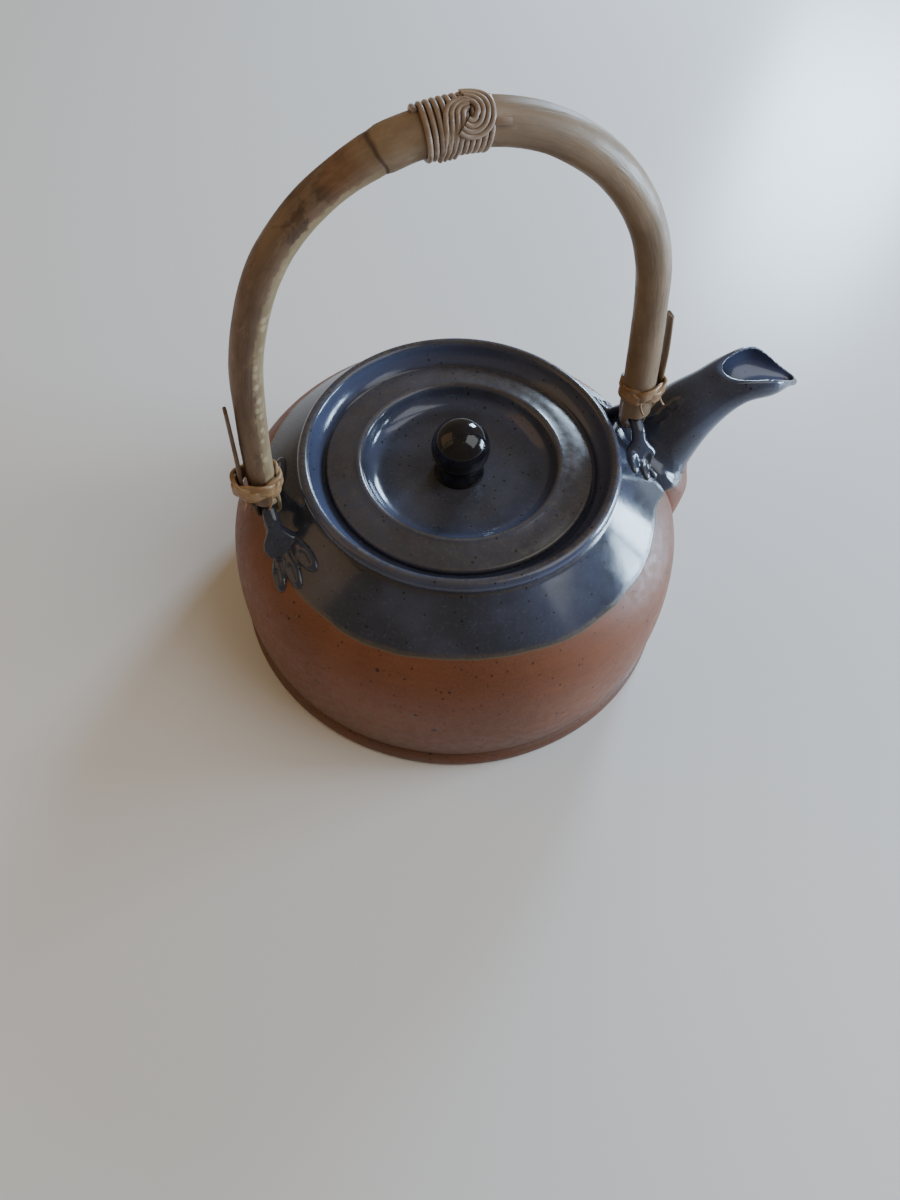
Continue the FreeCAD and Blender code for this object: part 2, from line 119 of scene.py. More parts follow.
add_view()
add_table()
for name, turn, height, tall, power in (
        ("window_near", -17, 0.20, 0.28, 10.0), ("window_middle", -3, 0.20, 0.28, 10.0),
        ("window_far", 42, 0.47, 0.34, 12.0)):
    way = math.radians(turn)
    place = (WINDOW_REACH * math.cos(way), WINDOW_REACH * math.sin(way), height)
    add_area(name, place, (0, 0, 0.05), (WINDOW_WIDE, tall), power, WINDOW_COLOUR)
add_area("skylight", (1.25, -0.70, 1.70), (0.1, 0.1, 0.0), (1.60, 1.60), 21.0, (0.92, 0.96, 1.0))
add_area("lamp_left", (-0.95, 0.30, 0.75), (-0.1, 0, 0.0), (1.00, 1.00), 2.2, (1.0, 0.60, 0.28))
world = bpy.data.worlds.new("room")
bpy.context.scene.world = world
world.use_nodes = True
world.node_tree.nodes["Background"].inputs["Color"].default_value = (1.0, 0.80, 0.54, 1)
world.node_tree.nodes["Background"].inputs["Strength"].default_value = 0.24

# ------------------------------------------------------------------------------------------------
# Thrown pot. Orange stoneware, thrown in one piece with a gallery for the lid and a beaded foot,
# dipped in blue glaze over rim and shoulder and left bare below. Holes behind the spout strain tea.

RING_SIDES = 192
WALL_BEND_STEPS = 8
STRAINER_HOLE_R = 2.2
STRAINER_PITCH = 6.6
STRAINER_PLACE = Vector((84.0, 0, 59.5))
STRAINER_RISE = 45.0
GLAZE_EDGE_Z = 0.0643


def bend(start, end, radius, left, steps=WALL_BEND_STEPS):
    """Points of the arc from start to end, in mm, with its centre on the left or right of the way."""
    a = Vector(start)
    b = Vector(end)
    half = (b - a) / 2
    reach = math.sqrt(radius ** 2 - half.length_squared)
    side = Vector((-half.y, half.x)).normalized() * (reach if left else -reach)
    centre = a + half + side
    first = a - centre
    turn = first.angle_signed(b - centre)
    points = []
    for i in range(steps + 1):
        spin = Matrix.Rotation(-turn * i / steps, 2)
        points.append(tuple(centre + spin @ first))
    return points


def edit_all():
    """Enter edit mode with everything selected."""
    bpy.ops.object.mode_set(mode="EDIT")
    bpy.ops.mesh.select_all(action="SELECT")


def face_outwards():
    """Turn every face outwards, and leave edit mode."""
    bpy.ops.mesh.select_all(action="SELECT")
    bpy.ops.mesh.normals_make_consistent(inside=False)
    bpy.ops.object.mode_set(mode="OBJECT")


def settle():
    """Put an object's place, turn and size into its mesh."""
    bpy.ops.object.transform_apply(location=True, rotation=True, scale=True)


def choose(piece):
    """Select this piece and no other."""
    deselect_all()
    piece.select_set(True)
    bpy.context.view_layer.objects.active = piece


def finish_modifier(piece, kind, **settings):
    """Add a modifier with these settings and apply it."""
    modifier = piece.modifiers.new("work", kind)
    for key, value in settings.items():
        setattr(modifier, key, value)
    choose(piece)
    bpy.ops.object.modifier_apply(modifier="work")


def joined(pieces):
    deselect_all()
    for piece in pieces:
        piece.select_set(True)
    bpy.context.view_layer.objects.active = pieces[0]
    bpy.ops.object.join()
    return bpy.context.object


def turned(name, stations, sides=RING_SIDES):
    """A closed body of revolution about Z, drawn ring by ring through (radius, height) in mm."""
    deselect_all()
    first_r, first_z = stations[0]
    bpy.ops.mesh.primitive_circle_add(vertices=sides, radius=first_r * MM, location=(0, 0, first_z * MM))
    piece = bpy.context.object
    piece.name = name
    settle()
    edit_all()
    for (r0, z0), (r1, z1) in zip(stations, stations[1:]):
        bpy.ops.mesh.extrude_region_move(TRANSFORM_OT_translate={"value": (0, 0, (z1 - z0) * MM)})
        grow = r1 / r0
        bpy.ops.transform.resize(value=(grow, grow, 1), center_override=(0, 0, z1 * MM))
    bpy.ops.mesh.select_all(action="DESELECT")
    bpy.ops.mesh.select_mode(type="EDGE")
    bpy.ops.mesh.select_non_manifold()
    bpy.ops.mesh.fill_holes(sides=0)
    face_outwards()
    return piece


def rounded(piece, degrees=38):
    choose(piece)
    bpy.ops.object.shade_smooth_by_angle(angle=math.radians(degrees))


OUTER_WALL = (
    [(58.9, 79.3), (60.6, 78.0), (64.0, 75.2), (70.0, 70.2), (75.2, 65.7)]
    + bend((76.7, 64.4), (88.7, 44.0), 32.0, False, 14)
    + bend((88.7, 44.0), (88.6, 9.0), 114.0, False, 14)[1:])
pot_stations = (
    [(2.0, 6.8), (40.0, 6.8)]
    + bend((74.5, 6.8), (83.6, 16.0), 9.3, True)
    + bend((83.6, 16.0), (83.7, 44.0), 109.0, True)[1:]
    + bend((83.7, 44.0), (73.5, 60.6), 26.3, True)[1:]
    + [(60.6, 71.0), (59.0, 71.8), (47.0, 71.8), (46.1, 72.2), (45.8, 73.0), (45.8, 75.6)]
    + bend((45.8, 75.8), (46.6, 76.6), 0.8, False, 4)
    + [(50.6, 76.6), (51.4, 76.9)]
    + bend((51.8, 77.4), (55.4, 83.2), 12.0, True, 8)
    + bend((55.6, 83.6), (59.0, 84.6), 2.15, False, 10)
    + bend((59.1, 84.5), (59.6, 81.0), 2.6, False, 8)
    + [(59.0, 80.3), (58.7, 79.8)]
    + OUTER_WALL
    + [(88.0, 7.6), (87.3, 6.9), (87.2, 6.5), (87.8, 5.9)]
    + bend((88.8, 5.6), (89.8, 1.0), 4.2, False, 8)
    + [(89.4, 0.3), (88.6, 0.0), (79.4, 0.0), (78.8, 0.3), (77.7, 2.1), (77.2, 2.2),
       (40.0, 2.2), (2.0, 2.2)])
pot = turned("teapot_pot", pot_stations)


def soft_waver(piece, strength, grain, name):
    """The slight unevenness of handwork, a fraction of a millimetre deep."""
    cloud = bpy.data.textures.new(name, "CLOUDS")
    cloud.noise_scale = grain
    finish_modifier(piece, "DISPLACE", texture=cloud, texture_coords="LOCAL",
                    strength=strength, mid_level=0.5)


def cut_away(piece, tool):
    """Cut a tool's shape out of a piece, and throw the tool away."""
    finish_modifier(piece, "BOOLEAN", operation="DIFFERENCE", object=tool, solver="EXACT")
    bpy.data.objects.remove(tool)


def strainer_drill():
    """Seven parallel pins, one in the middle and six round it, on the line of the spout."""
    rise = Matrix.Rotation(math.radians(90 - STRAINER_RISE), 4, "Y")
    pins = []
    for i in range(7):
        reach = STRAINER_PITCH if i else 0
        flat = Vector((reach * math.cos(math.radians(60 * i)), reach * math.sin(math.radians(60 * i)), 0))
        deselect_all()
        bpy.ops.mesh.primitive_cylinder_add(
            vertices=24, radius=STRAINER_HOLE_R * MM, depth=30 * MM,
            location=(STRAINER_PLACE + rise @ flat) * MM, rotation=rise.to_euler())
        pins.append(bpy.context.object)
    return joined(pins)


soft_waver(pot, 0.35 * MM, 0.045, "pot_waver")
cut_away(pot, strainer_drill())
rounded(pot)


def mark_inside(piece):
    """Mark the faces of the inner wall and floor, which are glazed all over."""
    marks = piece.data.attributes.new("inside", "FLOAT", "FACE")
    for face, mark in zip(piece.data.polygons, marks.data):
        inward = face.normal.x * face.center.x + face.normal.y * face.center.y < 0
        radius = math.hypot(face.center.x, face.center.y) / MM
        floor = face.normal.z > 0.5 and radius < 82 and face.center.z < 20 * MM
        mark.value = float((inward and radius < 84.5 or floor) and 6.5 * MM < face.center.z < 72 * MM)


mark_inside(pot)


def radius_from_axis(tree, coordinate):
    """Distance from the Z axis, in metres."""
    flat = node(tree, "VectorMath", operation="MULTIPLY")
    flat.inputs[1].default_value = (1, 1, 0)
    link(tree, coordinate, flat.inputs[0])
    length = node(tree, "VectorMath", operation="LENGTH")
    link(tree, flat.outputs[0], length.inputs[0])
    return length.outputs["Value"]


def between(tree, value, low, high, out_low=0.0, out_high=1.0):
    """A smooth step of value from low to high."""
    step = node(tree, "MapRange", interpolation_type="SMOOTHSTEP",
                From_Min=low, From_Max=high, To_Min=out_low, To_Max=out_high)
    link(tree, value, step.inputs["Value"])
    return step.outputs["Result"]


def feed(tree, socket, value):
    """Give a socket a number or an RGB triple, or link another socket to it."""
    if isinstance(value, tuple):
        socket.default_value = (*value, 1)
    elif isinstance(value, (int, float)):
        socket.default_value = value
    else:
        link(tree, value, socket)


def sums(tree, operation, first, second):
    """A Math node of two values, each a socket or a number."""
    math_node = node(tree, "Math", operation=operation)
    feed(tree, math_node.inputs[0], first)
    feed(tree, math_node.inputs[1], second)
    return math_node.outputs[0]


def times(tree, first, second):
    return sums(tree, "MULTIPLY", first, second)


def axes_of(tree, place):
    """A node whose outputs are the X, Y and Z of a place."""
    axes = node(tree, "SeparateXYZ")
    link(tree, place, axes.inputs[0])
    return axes


def bumped(tree, shader, height, strength, distance):
    """Relief on the surface, from a height."""
    bump = node(tree, "Bump", Strength=strength, Distance=distance)
    link(tree, height, bump.inputs["Height"])
    link(tree, bump.outputs[0], shader.inputs["Normal"])


def blended(tree, mask, first, second):
    """Two colours mixed by a mask; each is a socket or an RGB triple."""
    mix = node(tree, "Mix", data_type="RGBA")
    feed(tree, mix.inputs["Factor"], mask)
    for name, colour in (("A", first), ("B", second)):
        feed(tree, next(s for s in mix.inputs if s.name == name and s.type == "RGBA"), colour)
    return next(s for s in mix.outputs if s.type == "RGBA")


def noise(tree, coordinate, scale, detail=4.0, roughness=0.5, distortion=0.0):
    made = node(tree, "TexNoise", Scale=scale, Detail=detail, Roughness=roughness, Distortion=distortion)
    link(tree, coordinate, made.inputs["Vector"])
    return made.outputs[0]


def group_with(name, inputs, outputs):
    """A new shader node group with float or colour sockets, and its input and output nodes."""
    group = bpy.data.node_groups.new(name, "ShaderNodeTree")
    for label, kind, value in inputs:
        socket = group.interface.new_socket(label, in_out="INPUT", socket_type="NodeSocket" + kind)
        if value is not None:
            socket.default_value = value
    for label, kind in outputs:
        group.interface.new_socket(label, in_out="OUTPUT", socket_type="NodeSocket" + kind)
    return group, group.nodes.new("NodeGroupInput"), group.nodes.new("NodeGroupOutput")


def speck_group():
    """Dark iron specks: small, sparse, of uneven size."""
    group, given, made = group_with(
        "iron_specks",
        [("Coordinate", "Vector", None), ("Scale", "Float", 900.0), ("Amount", "Float", 0.5)],
        [("Mask", "Float")])
    cells = node(group, "TexVoronoi", feature="F1", Randomness=1.0)
    link(group, given.outputs["Coordinate"], cells.inputs["Vector"])
    link(group, given.outputs["Scale"], cells.inputs["Scale"])
    lottery = node(group, "SeparateColor")
    link(group, cells.outputs["Color"], lottery.inputs["Color"])
    chosen = sums(group, "LESS_THAN", lottery.outputs["Red"], given.outputs["Amount"])
    size = times(group, lottery.outputs["Green"], 0.34)
    inner = sums(group, "LESS_THAN", cells.outputs["Distance"], size)
    link(group, times(group, chosen, inner), made.inputs["Mask"])
    return group


def glaze_group():
    """Slate blue glaze: bluer where it pools, grey-brown where it breaks thin, with specks."""
    group, given, made = group_with(
        "slate_glaze",
        [("Coordinate", "Vector", None), ("Pooled", "Float", 0.0), ("Thin", "Float", 0.0)],
        [("Color", "Color"), ("Roughness", "Float"), ("Height", "Float")])
    place = given.outputs["Coordinate"]
    broad = noise(group, place, 38.0, 3.0, 0.55)
    fine = noise(group, place, 240.0, 5.0, 0.65)
    mottle = between(group, broad, 0.36, 0.66)
    body = blended(group, mottle, (0.035, 0.040, 0.060), (0.056, 0.066, 0.106))
    body = blended(group, given.outputs["Pooled"], body, (0.072, 0.088, 0.165))
    uneven = times(group, given.outputs["Thin"], between(group, fine, 0.25, 0.7, 0.45, 1.0))
    body = blended(group, uneven, body, (0.092, 0.074, 0.058))
    milky = between(group, noise(group, place, 900.0, 2.0), 0.56, 0.72, 0.0, 0.22)
    body = blended(group, milky, body, (0.13, 0.14, 0.18))
    specks = specks_on(group, place, 620.0, 0.20)
    body = blended(group, times(group, specks, 0.8), body, (0.012, 0.010, 0.010))
    link(group, body, made.inputs["Color"])
    rough = between(group, fine, 0.2, 0.8, 0.11, 0.20)
    rough = sums(group, "ADD", rough, times(group, uneven, 0.22))
    link(group, rough, made.inputs["Roughness"])
    dimple = noise(group, place, 420.0, 2.0, 0.4)
    swell = noise(group, place, 75.0, 2.0, 0.4)
    link(group, sums(group, "ADD", times(group, dimple, 0.12), swell), made.inputs["Height"])
    return group


speck_tree = speck_group()


def specks_on(tree, place, scale, amount):
    """The specks' mask, at this fineness and this share of the places that may hold one."""
    specks = node(tree, "Group", node_tree=speck_tree)
    specks.inputs["Scale"].default_value = scale
    specks.inputs["Amount"].default_value = amount
    link(tree, place, specks.inputs["Coordinate"])
    return specks.outputs["Mask"]


glaze_tree = glaze_group()


def glaze_on(tree, coordinate, pooled, thin):
    """A glaze group placed in a material, with its two masks, each a socket or a number."""
    made = node(tree, "Group", node_tree=glaze_tree)
    link(tree, coordinate, made.inputs["Coordinate"])
    for name, value in (("Pooled", pooled), ("Thin", thin)):
        feed(tree, made.inputs[name], value)
    return made


def near(tree, value, middle, reach):
    """1 where value is at middle, falling smoothly to 0 a reach away."""
    away = sums(tree, "ABSOLUTE", sums(tree, "SUBTRACT", value, middle), 0.0)
    return between(tree, away, 0.0, reach, 1.0, 0.0)


def clay_group():
    """Bare stoneware: warm orange, greyer at the foot, with iron specks and faint turning lines."""
    group, given, made = group_with(
        "bare_stoneware", [("Coordinate", "Vector", None), ("Height", "Float", 0.0)],
        [("Color", "Color"), ("Roughness", "Float"), ("Relief", "Float")])
    place = given.outputs["Coordinate"]
    blush = between(group, noise(group, place, 16.0, 3.0, 0.6), 0.35, 0.68)
    clay = blended(group, blush, (0.155, 0.049, 0.021), (0.215, 0.074, 0.034))
    stretch = node(group, "Mapping")
    stretch.inputs["Scale"].default_value = (1, 1, 9)
    link(group, place, stretch.inputs["Vector"])
    streak = between(group, noise(group, stretch.outputs[0], 55.0, 5.0, 0.6), 0.3, 0.75)
    clay = blended(group, times(group, streak, 0.35), clay, (0.125, 0.046, 0.025))
    smoky = times(group, between(group, given.outputs["Height"], 0.030, 0.004), between(
        group, noise(group, place, 26.0, 4.0), 0.3, 0.6, 0.30, 0.75))
    clay = blended(group, smoky, clay, (0.105, 0.058, 0.044))
    grit = between(group, noise(group, place, 1500.0, 2.0), 0.35, 0.7, 0.0, 0.25)
    clay = blended(group, grit, clay, (0.27, 0.125, 0.068))
    for fineness, share, strength in ((640.0, 0.26, 0.7), (330.0, 0.05, 0.9)):
        specks = specks_on(group, place, fineness, share)
        clay = blended(group, times(group, specks, strength), clay, (0.028, 0.013, 0.009))
    link(group, clay, made.inputs["Color"])
    rough = between(group, noise(group, place, 300.0, 4.0), 0.3, 0.7, 0.44, 0.56)
    link(group, rough, made.inputs["Roughness"])
    grain = noise(group, place, 1100.0, 4.0, 0.6)
    lines = noise(group, stretch.outputs[0], 90.0, 3.0, 0.5)
    link(group, sums(group, "ADD", times(group, grain, 0.10), times(group, lines, 0.16)),
         made.inputs["Relief"])
    return group


clay_tree = clay_group()


def mixed(tree, mask, first, second):
    """Two values mixed by a mask."""
    mix = node(tree, "Mix", data_type="FLOAT")
    link(tree, mask, mix.inputs["Factor"])
    link(tree, first, mix.inputs[2])
    link(tree, second, mix.inputs[3])
    return mix.outputs[0]


def dipped(tree, shader, place, glazed, edge, glaze):
    """Clay below and glaze above in one skin, with a sandy edge where the glaze ends."""
    axes = axes_of(tree, place)
    clay = node(tree, "Group", node_tree=clay_tree)
    link(tree, place, clay.inputs["Coordinate"])
    link(tree, axes.outputs["Z"], clay.inputs["Height"])
    skin = blended(tree, glazed, clay.outputs["Color"], glaze.outputs["Color"])
    skin = blended(tree, times(tree, edge, 0.7), skin, (0.15, 0.125, 0.085))
    link(tree, skin, shader.inputs["Base Color"])
    rough = mixed(tree, glazed, clay.outputs["Roughness"], glaze.outputs["Roughness"])
    link(tree, rough, shader.inputs["Roughness"])
    swell = sums(tree, "ADD", times(tree, glaze.outputs["Height"], 0.25), 0.5)
    bumped(tree, shader, mixed(tree, glazed, clay.outputs["Relief"], swell), 0.55, 0.0005)


def glaze_line(tree, place):
    """Height above the edge of the glaze, which wavers, and dips lower under the spout."""
    axes = axes_of(tree, place)
    aside = sums(tree, "ABSOLUTE", axes.outputs["Y"], 0.0)
    beside = times(tree, between(tree, aside, 0.036, 0.018), between(tree, axes.outputs["X"], 0.055, 0.078))
    beside = times(tree, beside, between(tree, axes.outputs["X"], 0.100, 0.088))
    waver = times(tree, sums(tree, "SUBTRACT", noise(tree, place, 30.0, 3.0), 0.5), 0.0036)
    height = sums(tree, "ADD", axes.outputs["Z"], times(tree, beside, 0.0075))
    behind = between(tree, axes.outputs["X"], -0.066, -0.084)
    height = sums(tree, "SUBTRACT", height, times(tree, behind, 0.0020))
    return sums(tree, "SUBTRACT", sums(tree, "ADD", height, waver), GLAZE_EDGE_Z)


def pot_clay():
    material, tree, shader = new_material("dipped_stoneware")
    place = node(tree, "TexCoord").outputs["Object"]
    axes = axes_of(tree, place)
    height = axes.outputs["Z"]
    radius = radius_from_axis(tree, place)
    line = glaze_line(tree, place)
    outside = between(tree, line, -0.00015, 0.00015)
    glazed = sums(tree, "MAXIMUM", outside, node(tree, "Attribute", attribute_name="inside").outputs["Fac"])
    fray = noise(tree, place, 260.0, 3.0, 0.6)
    crest = times(tree, near(tree, height, 0.0850, 0.0007), between(tree, fray, 0.30, 0.60, 0.20, 0.8))
    neck = times(tree, near(tree, radius, 0.0594, 0.0010), near(tree, height, 0.0792, 0.0016))
    thin = sums(tree, "MAXIMUM", crest, times(tree, neck, 0.6))
    thin = sums(tree, "MAXIMUM", thin, times(tree, near(tree, line, 0.0006, 0.0009), 0.8))
    gallery = times(tree, between(tree, radius, 0.0570, 0.0550), between(tree, height, 0.0765, 0.0785))
    rim_side = times(tree, between(tree, height, 0.0795, 0.0815), between(tree, radius, 0.0572, 0.0582))
    pooled = sums(tree, "MAXIMUM", times(tree, gallery, 0.85), times(tree, rim_side, 0.45))
    glaze = glaze_on(tree, place, pooled, thin)
    dipped(tree, shader, place, glazed, near(tree, line, 0.0, 0.00045), glaze)
    return material


pot.data.materials.append(pot_clay())
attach(pot, "pot")
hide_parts("pot_body")

# ------------------------------------------------------------------------------------------------
# Lid. Thrown with a sunk well, a broad flat flange that rests in the gallery and a spigot below
# that keeps it in place. It is glazed all over, and the glaze breaks brown on its two crests.

lid_stations = (
    [(2.0, 73.3), (16.0, 73.3), (26.0, 73.35)]
    + bend((29.0, 73.6), (35.8, 79.4), 8.4, True, 10)
    + bend((36.0, 79.8), (39.2, 81.0), 2.3, False, 8)
    + [(42.0, 80.75), (45.0, 80.2), (47.6, 79.6)]
    + bend((48.7, 79.3), (49.8, 78.1), 1.15, False, 6)
    + [(49.8, 77.4), (49.5, 76.9), (49.0, 76.8), (44.9, 76.8), (44.6, 76.4), (44.6, 67.0)]
    + bend((44.5, 66.6), (41.4, 66.6), 1.62, False, 6)
    + [(41.2, 67.4), (41.2, 75.6), (40.6, 76.1), (39.0, 76.1), (31.0, 70.2), (30.0, 69.9), (2.0, 69.9)])
lid = turned("teapot_lid", lid_stations)
soft_waver(lid, 0.15 * MM, 0.03, "lid_waver")
rounded(lid)


def glaze_all_over(tree, shader, glaze):
    link(tree, glaze.outputs["Color"], shader.inputs["Base Color"])
    link(tree, glaze.outputs["Roughness"], shader.inputs["Roughness"])
    bumped(tree, shader, glaze.outputs["Height"], 0.35, 0.0004)


def lid_glaze():
    material, tree, shader = new_material("lid_glaze")
    place = node(tree, "TexCoord").outputs["Object"]
    radius = radius_from_axis(tree, place)
    crest = times(tree, near(tree, radius, 0.0376, 0.0016), 0.8)
    rim = times(tree, near(tree, radius, 0.0492, 0.0011), 0.95)
    flange = times(tree, between(tree, radius, 0.0375, 0.0400), 0.55)
    floor = times(tree, between(tree, radius, 0.0290, 0.0200), 0.30)
    thin = sums(tree, "MAXIMUM", sums(tree, "MAXIMUM", crest, rim), sums(tree, "MAXIMUM", flange, floor))
    pooled = times(tree, near(tree, radius, 0.0325, 0.0040), 0.62)
    glaze = glaze_on(tree, place, pooled, thin)
    glaze_all_over(tree, shader, glaze)
    return material


lid.data.materials.append(lid_glaze())
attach(lid, "lid")
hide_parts("lid")

# ------------------------------------------------------------------------------------------------
# Knob. A ball on a waisted foot, turned on the lid and dipped in near-black glaze, so that it is
# the glossiest and darkest part. The glaze gathers in a thicker roll where the foot meets the lid.

knob_stations = (
    [(1.0, 73.2), (9.3, 73.2), (9.5, 73.9), (9.4, 74.7), (8.8, 76.2), (8.0, 77.5), (7.75, 78.3), (7.9, 79.0)]
    + bend((8.2, 79.45), (0.6, 97.48), 10.9, True, 26))
knob = turned("teapot_knob", knob_stations, 96)
rounded(knob, 60)


def knob_glaze():
    material, tree, shader = new_material("black_knob_glaze")
    place = node(tree, "TexCoord").outputs["Object"]
    cloud = between(tree, noise(tree, place, 120.0, 4.0, 0.6), 0.35, 0.7)
    colour = blended(tree, cloud, (0.006, 0.006, 0.009), (0.018, 0.016, 0.020))
    specks = specks_on(tree, place, 700.0, 0.10)
    colour = blended(tree, times(tree, specks, 0.5), colour, (0.07, 0.05, 0.035))
    link(tree, colour, shader.inputs["Base Color"])
    rough = between(tree, noise(tree, place, 300.0, 3.0), 0.3, 0.7, 0.06, 0.14)
    link(tree, rough, shader.inputs["Roughness"])
    bumped(tree, shader, noise(tree, place, 260.0, 2.0), 0.2, 0.0003)
    return material


knob.data.materials.append(knob_glaze())
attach(knob, "lid")
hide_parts("lid_knob")

# ------------------------------------------------------------------------------------------------
# Spout. A thrown and pulled tube, luted to the shoulder over the strainer and smoothed out round
# its root, then cut aslant and thinned at the mouth to a beak that pours without a drip.

SPOUT_SIDES = 96
SPOUT_WALL = 2.5
LIP_WALL = 1.5
VOXEL_MM = 0.5
SPOUT_LINE = (
    (88.6, 64.1, 14.9, 46.0, 1.0), (95.5, 75.6, 12.9, 41.0, 1.0), (104.3, 83.0, 10.9, 36.0, 0.95),
    (113.2, 88.4, 10.9, 24.0, 0.80), (125.5, 89.4, 11.2, 3.0, 0.76), (136.8, 84.0, 5.5, -4.0, 0.85),
    (143.4, 78.9, 2.0, -6.0, 1.0))
ROOT_FLARE = (
    (13.0, 14.0, 24.0, 1.0, -6.0, -6.0, 1.0), (10.9, 20.0, 28.0, 1.36, -1.4, -1.4, 1.0),
    (10.5, 18.5, 27.5, 1.34, -0.3, 0.7, 1.0), (9.9, 15.4, 26.0, 1.28, 0.3, 2.7, 1.0),
    (8.9, 11.6, 24.0, 1.21, 0.9, 5.2, 1.0), (7.8, 7.6, 21.4, 1.13, 2.0, 7.8, 0.9),
    (5.2, 4.0, 18.6, 1.05, 3.2, 10.0, 0.3), (2.6, 1.5, 16.4, 1.0, 4.0, 12.0, 0.0))
CHANNEL_START = ((78.0, 53.0, 9.0, 47.0, 1.0), (84.0, 59.3, 12.4, 47.0, 1.0))
MOUTH_LINE = (
    (96.0, 96.5), (100.0, 95.2), (103.5, 94.3), (107.5, 94.2), (112.0, 94.4), (117.0, 94.4), (122.0, 93.9),
    (127.0, 92.2), (131.5, 89.2), (137.5, 84.4), (145.5, 78.8))


def through(stations, steps):
    """Stations on a smooth line through the given ones, with steps between each two."""
    ends = [stations[0]] + list(stations) + [stations[-1]]
    line = []
    for a, b, c, d in zip(ends, ends[1:], ends[2:], ends[3:]):
        for i in range(steps):
            t = i / steps
            line.append(tuple(
                q + 0.5 * t * (r - p + t * (2 * p - 5 * q + 4 * r - s + t * (3 * (q - r) + s - p)))
                for p, q, r, s in zip(a, b, c, d)))
    line.append(tuple(stations[-1]))
    return line


def tube(name, rings, sides):
    """A closed tube along a line in the XZ plane, drawn ring by ring: x, z, radius, rise, flatness."""
    deselect_all()
    x, z, radius, rise, _ = rings[0]
    bpy.ops.mesh.primitive_circle_add(
        vertices=sides, radius=radius * MM, fill_type="NGON",
        location=(x * MM, 0, z * MM), rotation=(0, math.radians(90 - rise), 0))
    piece = bpy.context.object
    piece.name = name
    settle()
    edit_all()
    for before, after in zip(rings, rings[1:]):
        way = ((after[0] - before[0]) * MM, 0, (after[1] - before[1]) * MM)
        place = (after[0] * MM, 0, after[1] * MM)
        bpy.ops.mesh.extrude_region_move(TRANSFORM_OT_translate={"value": way})
        bpy.ops.transform.rotate(
            value=math.radians(after[3] - before[3]), orient_axis="Y", center_override=place)
        wider = after[2] / before[2]
        taller = wider * after[4] / before[4]
        bpy.ops.transform.resize(value=(taller, wider, taller), center_override=place)
    face_outwards()
    return piece


def pot_core(shrink):
    """A solid in the shape of the pot's outer wall, smaller all round by so many millimetres."""
    wall = [(r - shrink, z - 0.8 * shrink) for r, z in OUTER_WALL]
    return turned("pot_core", [(1.0, 84.0 - shrink), (57.0, 84.0 - shrink)] + wall + [(1.0, 9.0)], 128)


def smoothed_clay(piece, voxel, passes):
    """Make joined lumps one skin, and soften every edge as wet fingers and glaze do."""
    finish_modifier(piece, "REMESH", mode="VOXEL", voxel_size=voxel * MM)
    finish_modifier(piece, "SMOOTH", factor=0.5, iterations=passes)
    bpy.ops.object.shade_smooth()


def wall_foot(place):
    """The nearest point of the pot's outer wall to a place, and the wall's normal, in mm."""
    radius = math.hypot(place.x, place.y)
    spot = Vector((radius, place.z))
    best = None
    for (r0, z0), (r1, z1) in zip(OUTER_WALL, OUTER_WALL[1:]):
        a = Vector((r0, z0))
        way = Vector((r1, z1)) - a
        share = min(1.0, max(0.0, (spot - a).dot(way) / way.length_squared))
        foot = a + way * share
        if best is None or (spot - foot).length < best[0]:
            best = ((spot - foot).length, foot, Vector((-way.y, way.x)).normalized())
    _, foot, normal = best
    out = Vector((place.x / radius, place.y / radius, 0))
    return out * foot.x + Vector((0, 0, foot.y)), out * normal.x + Vector((0, 0, normal.y))


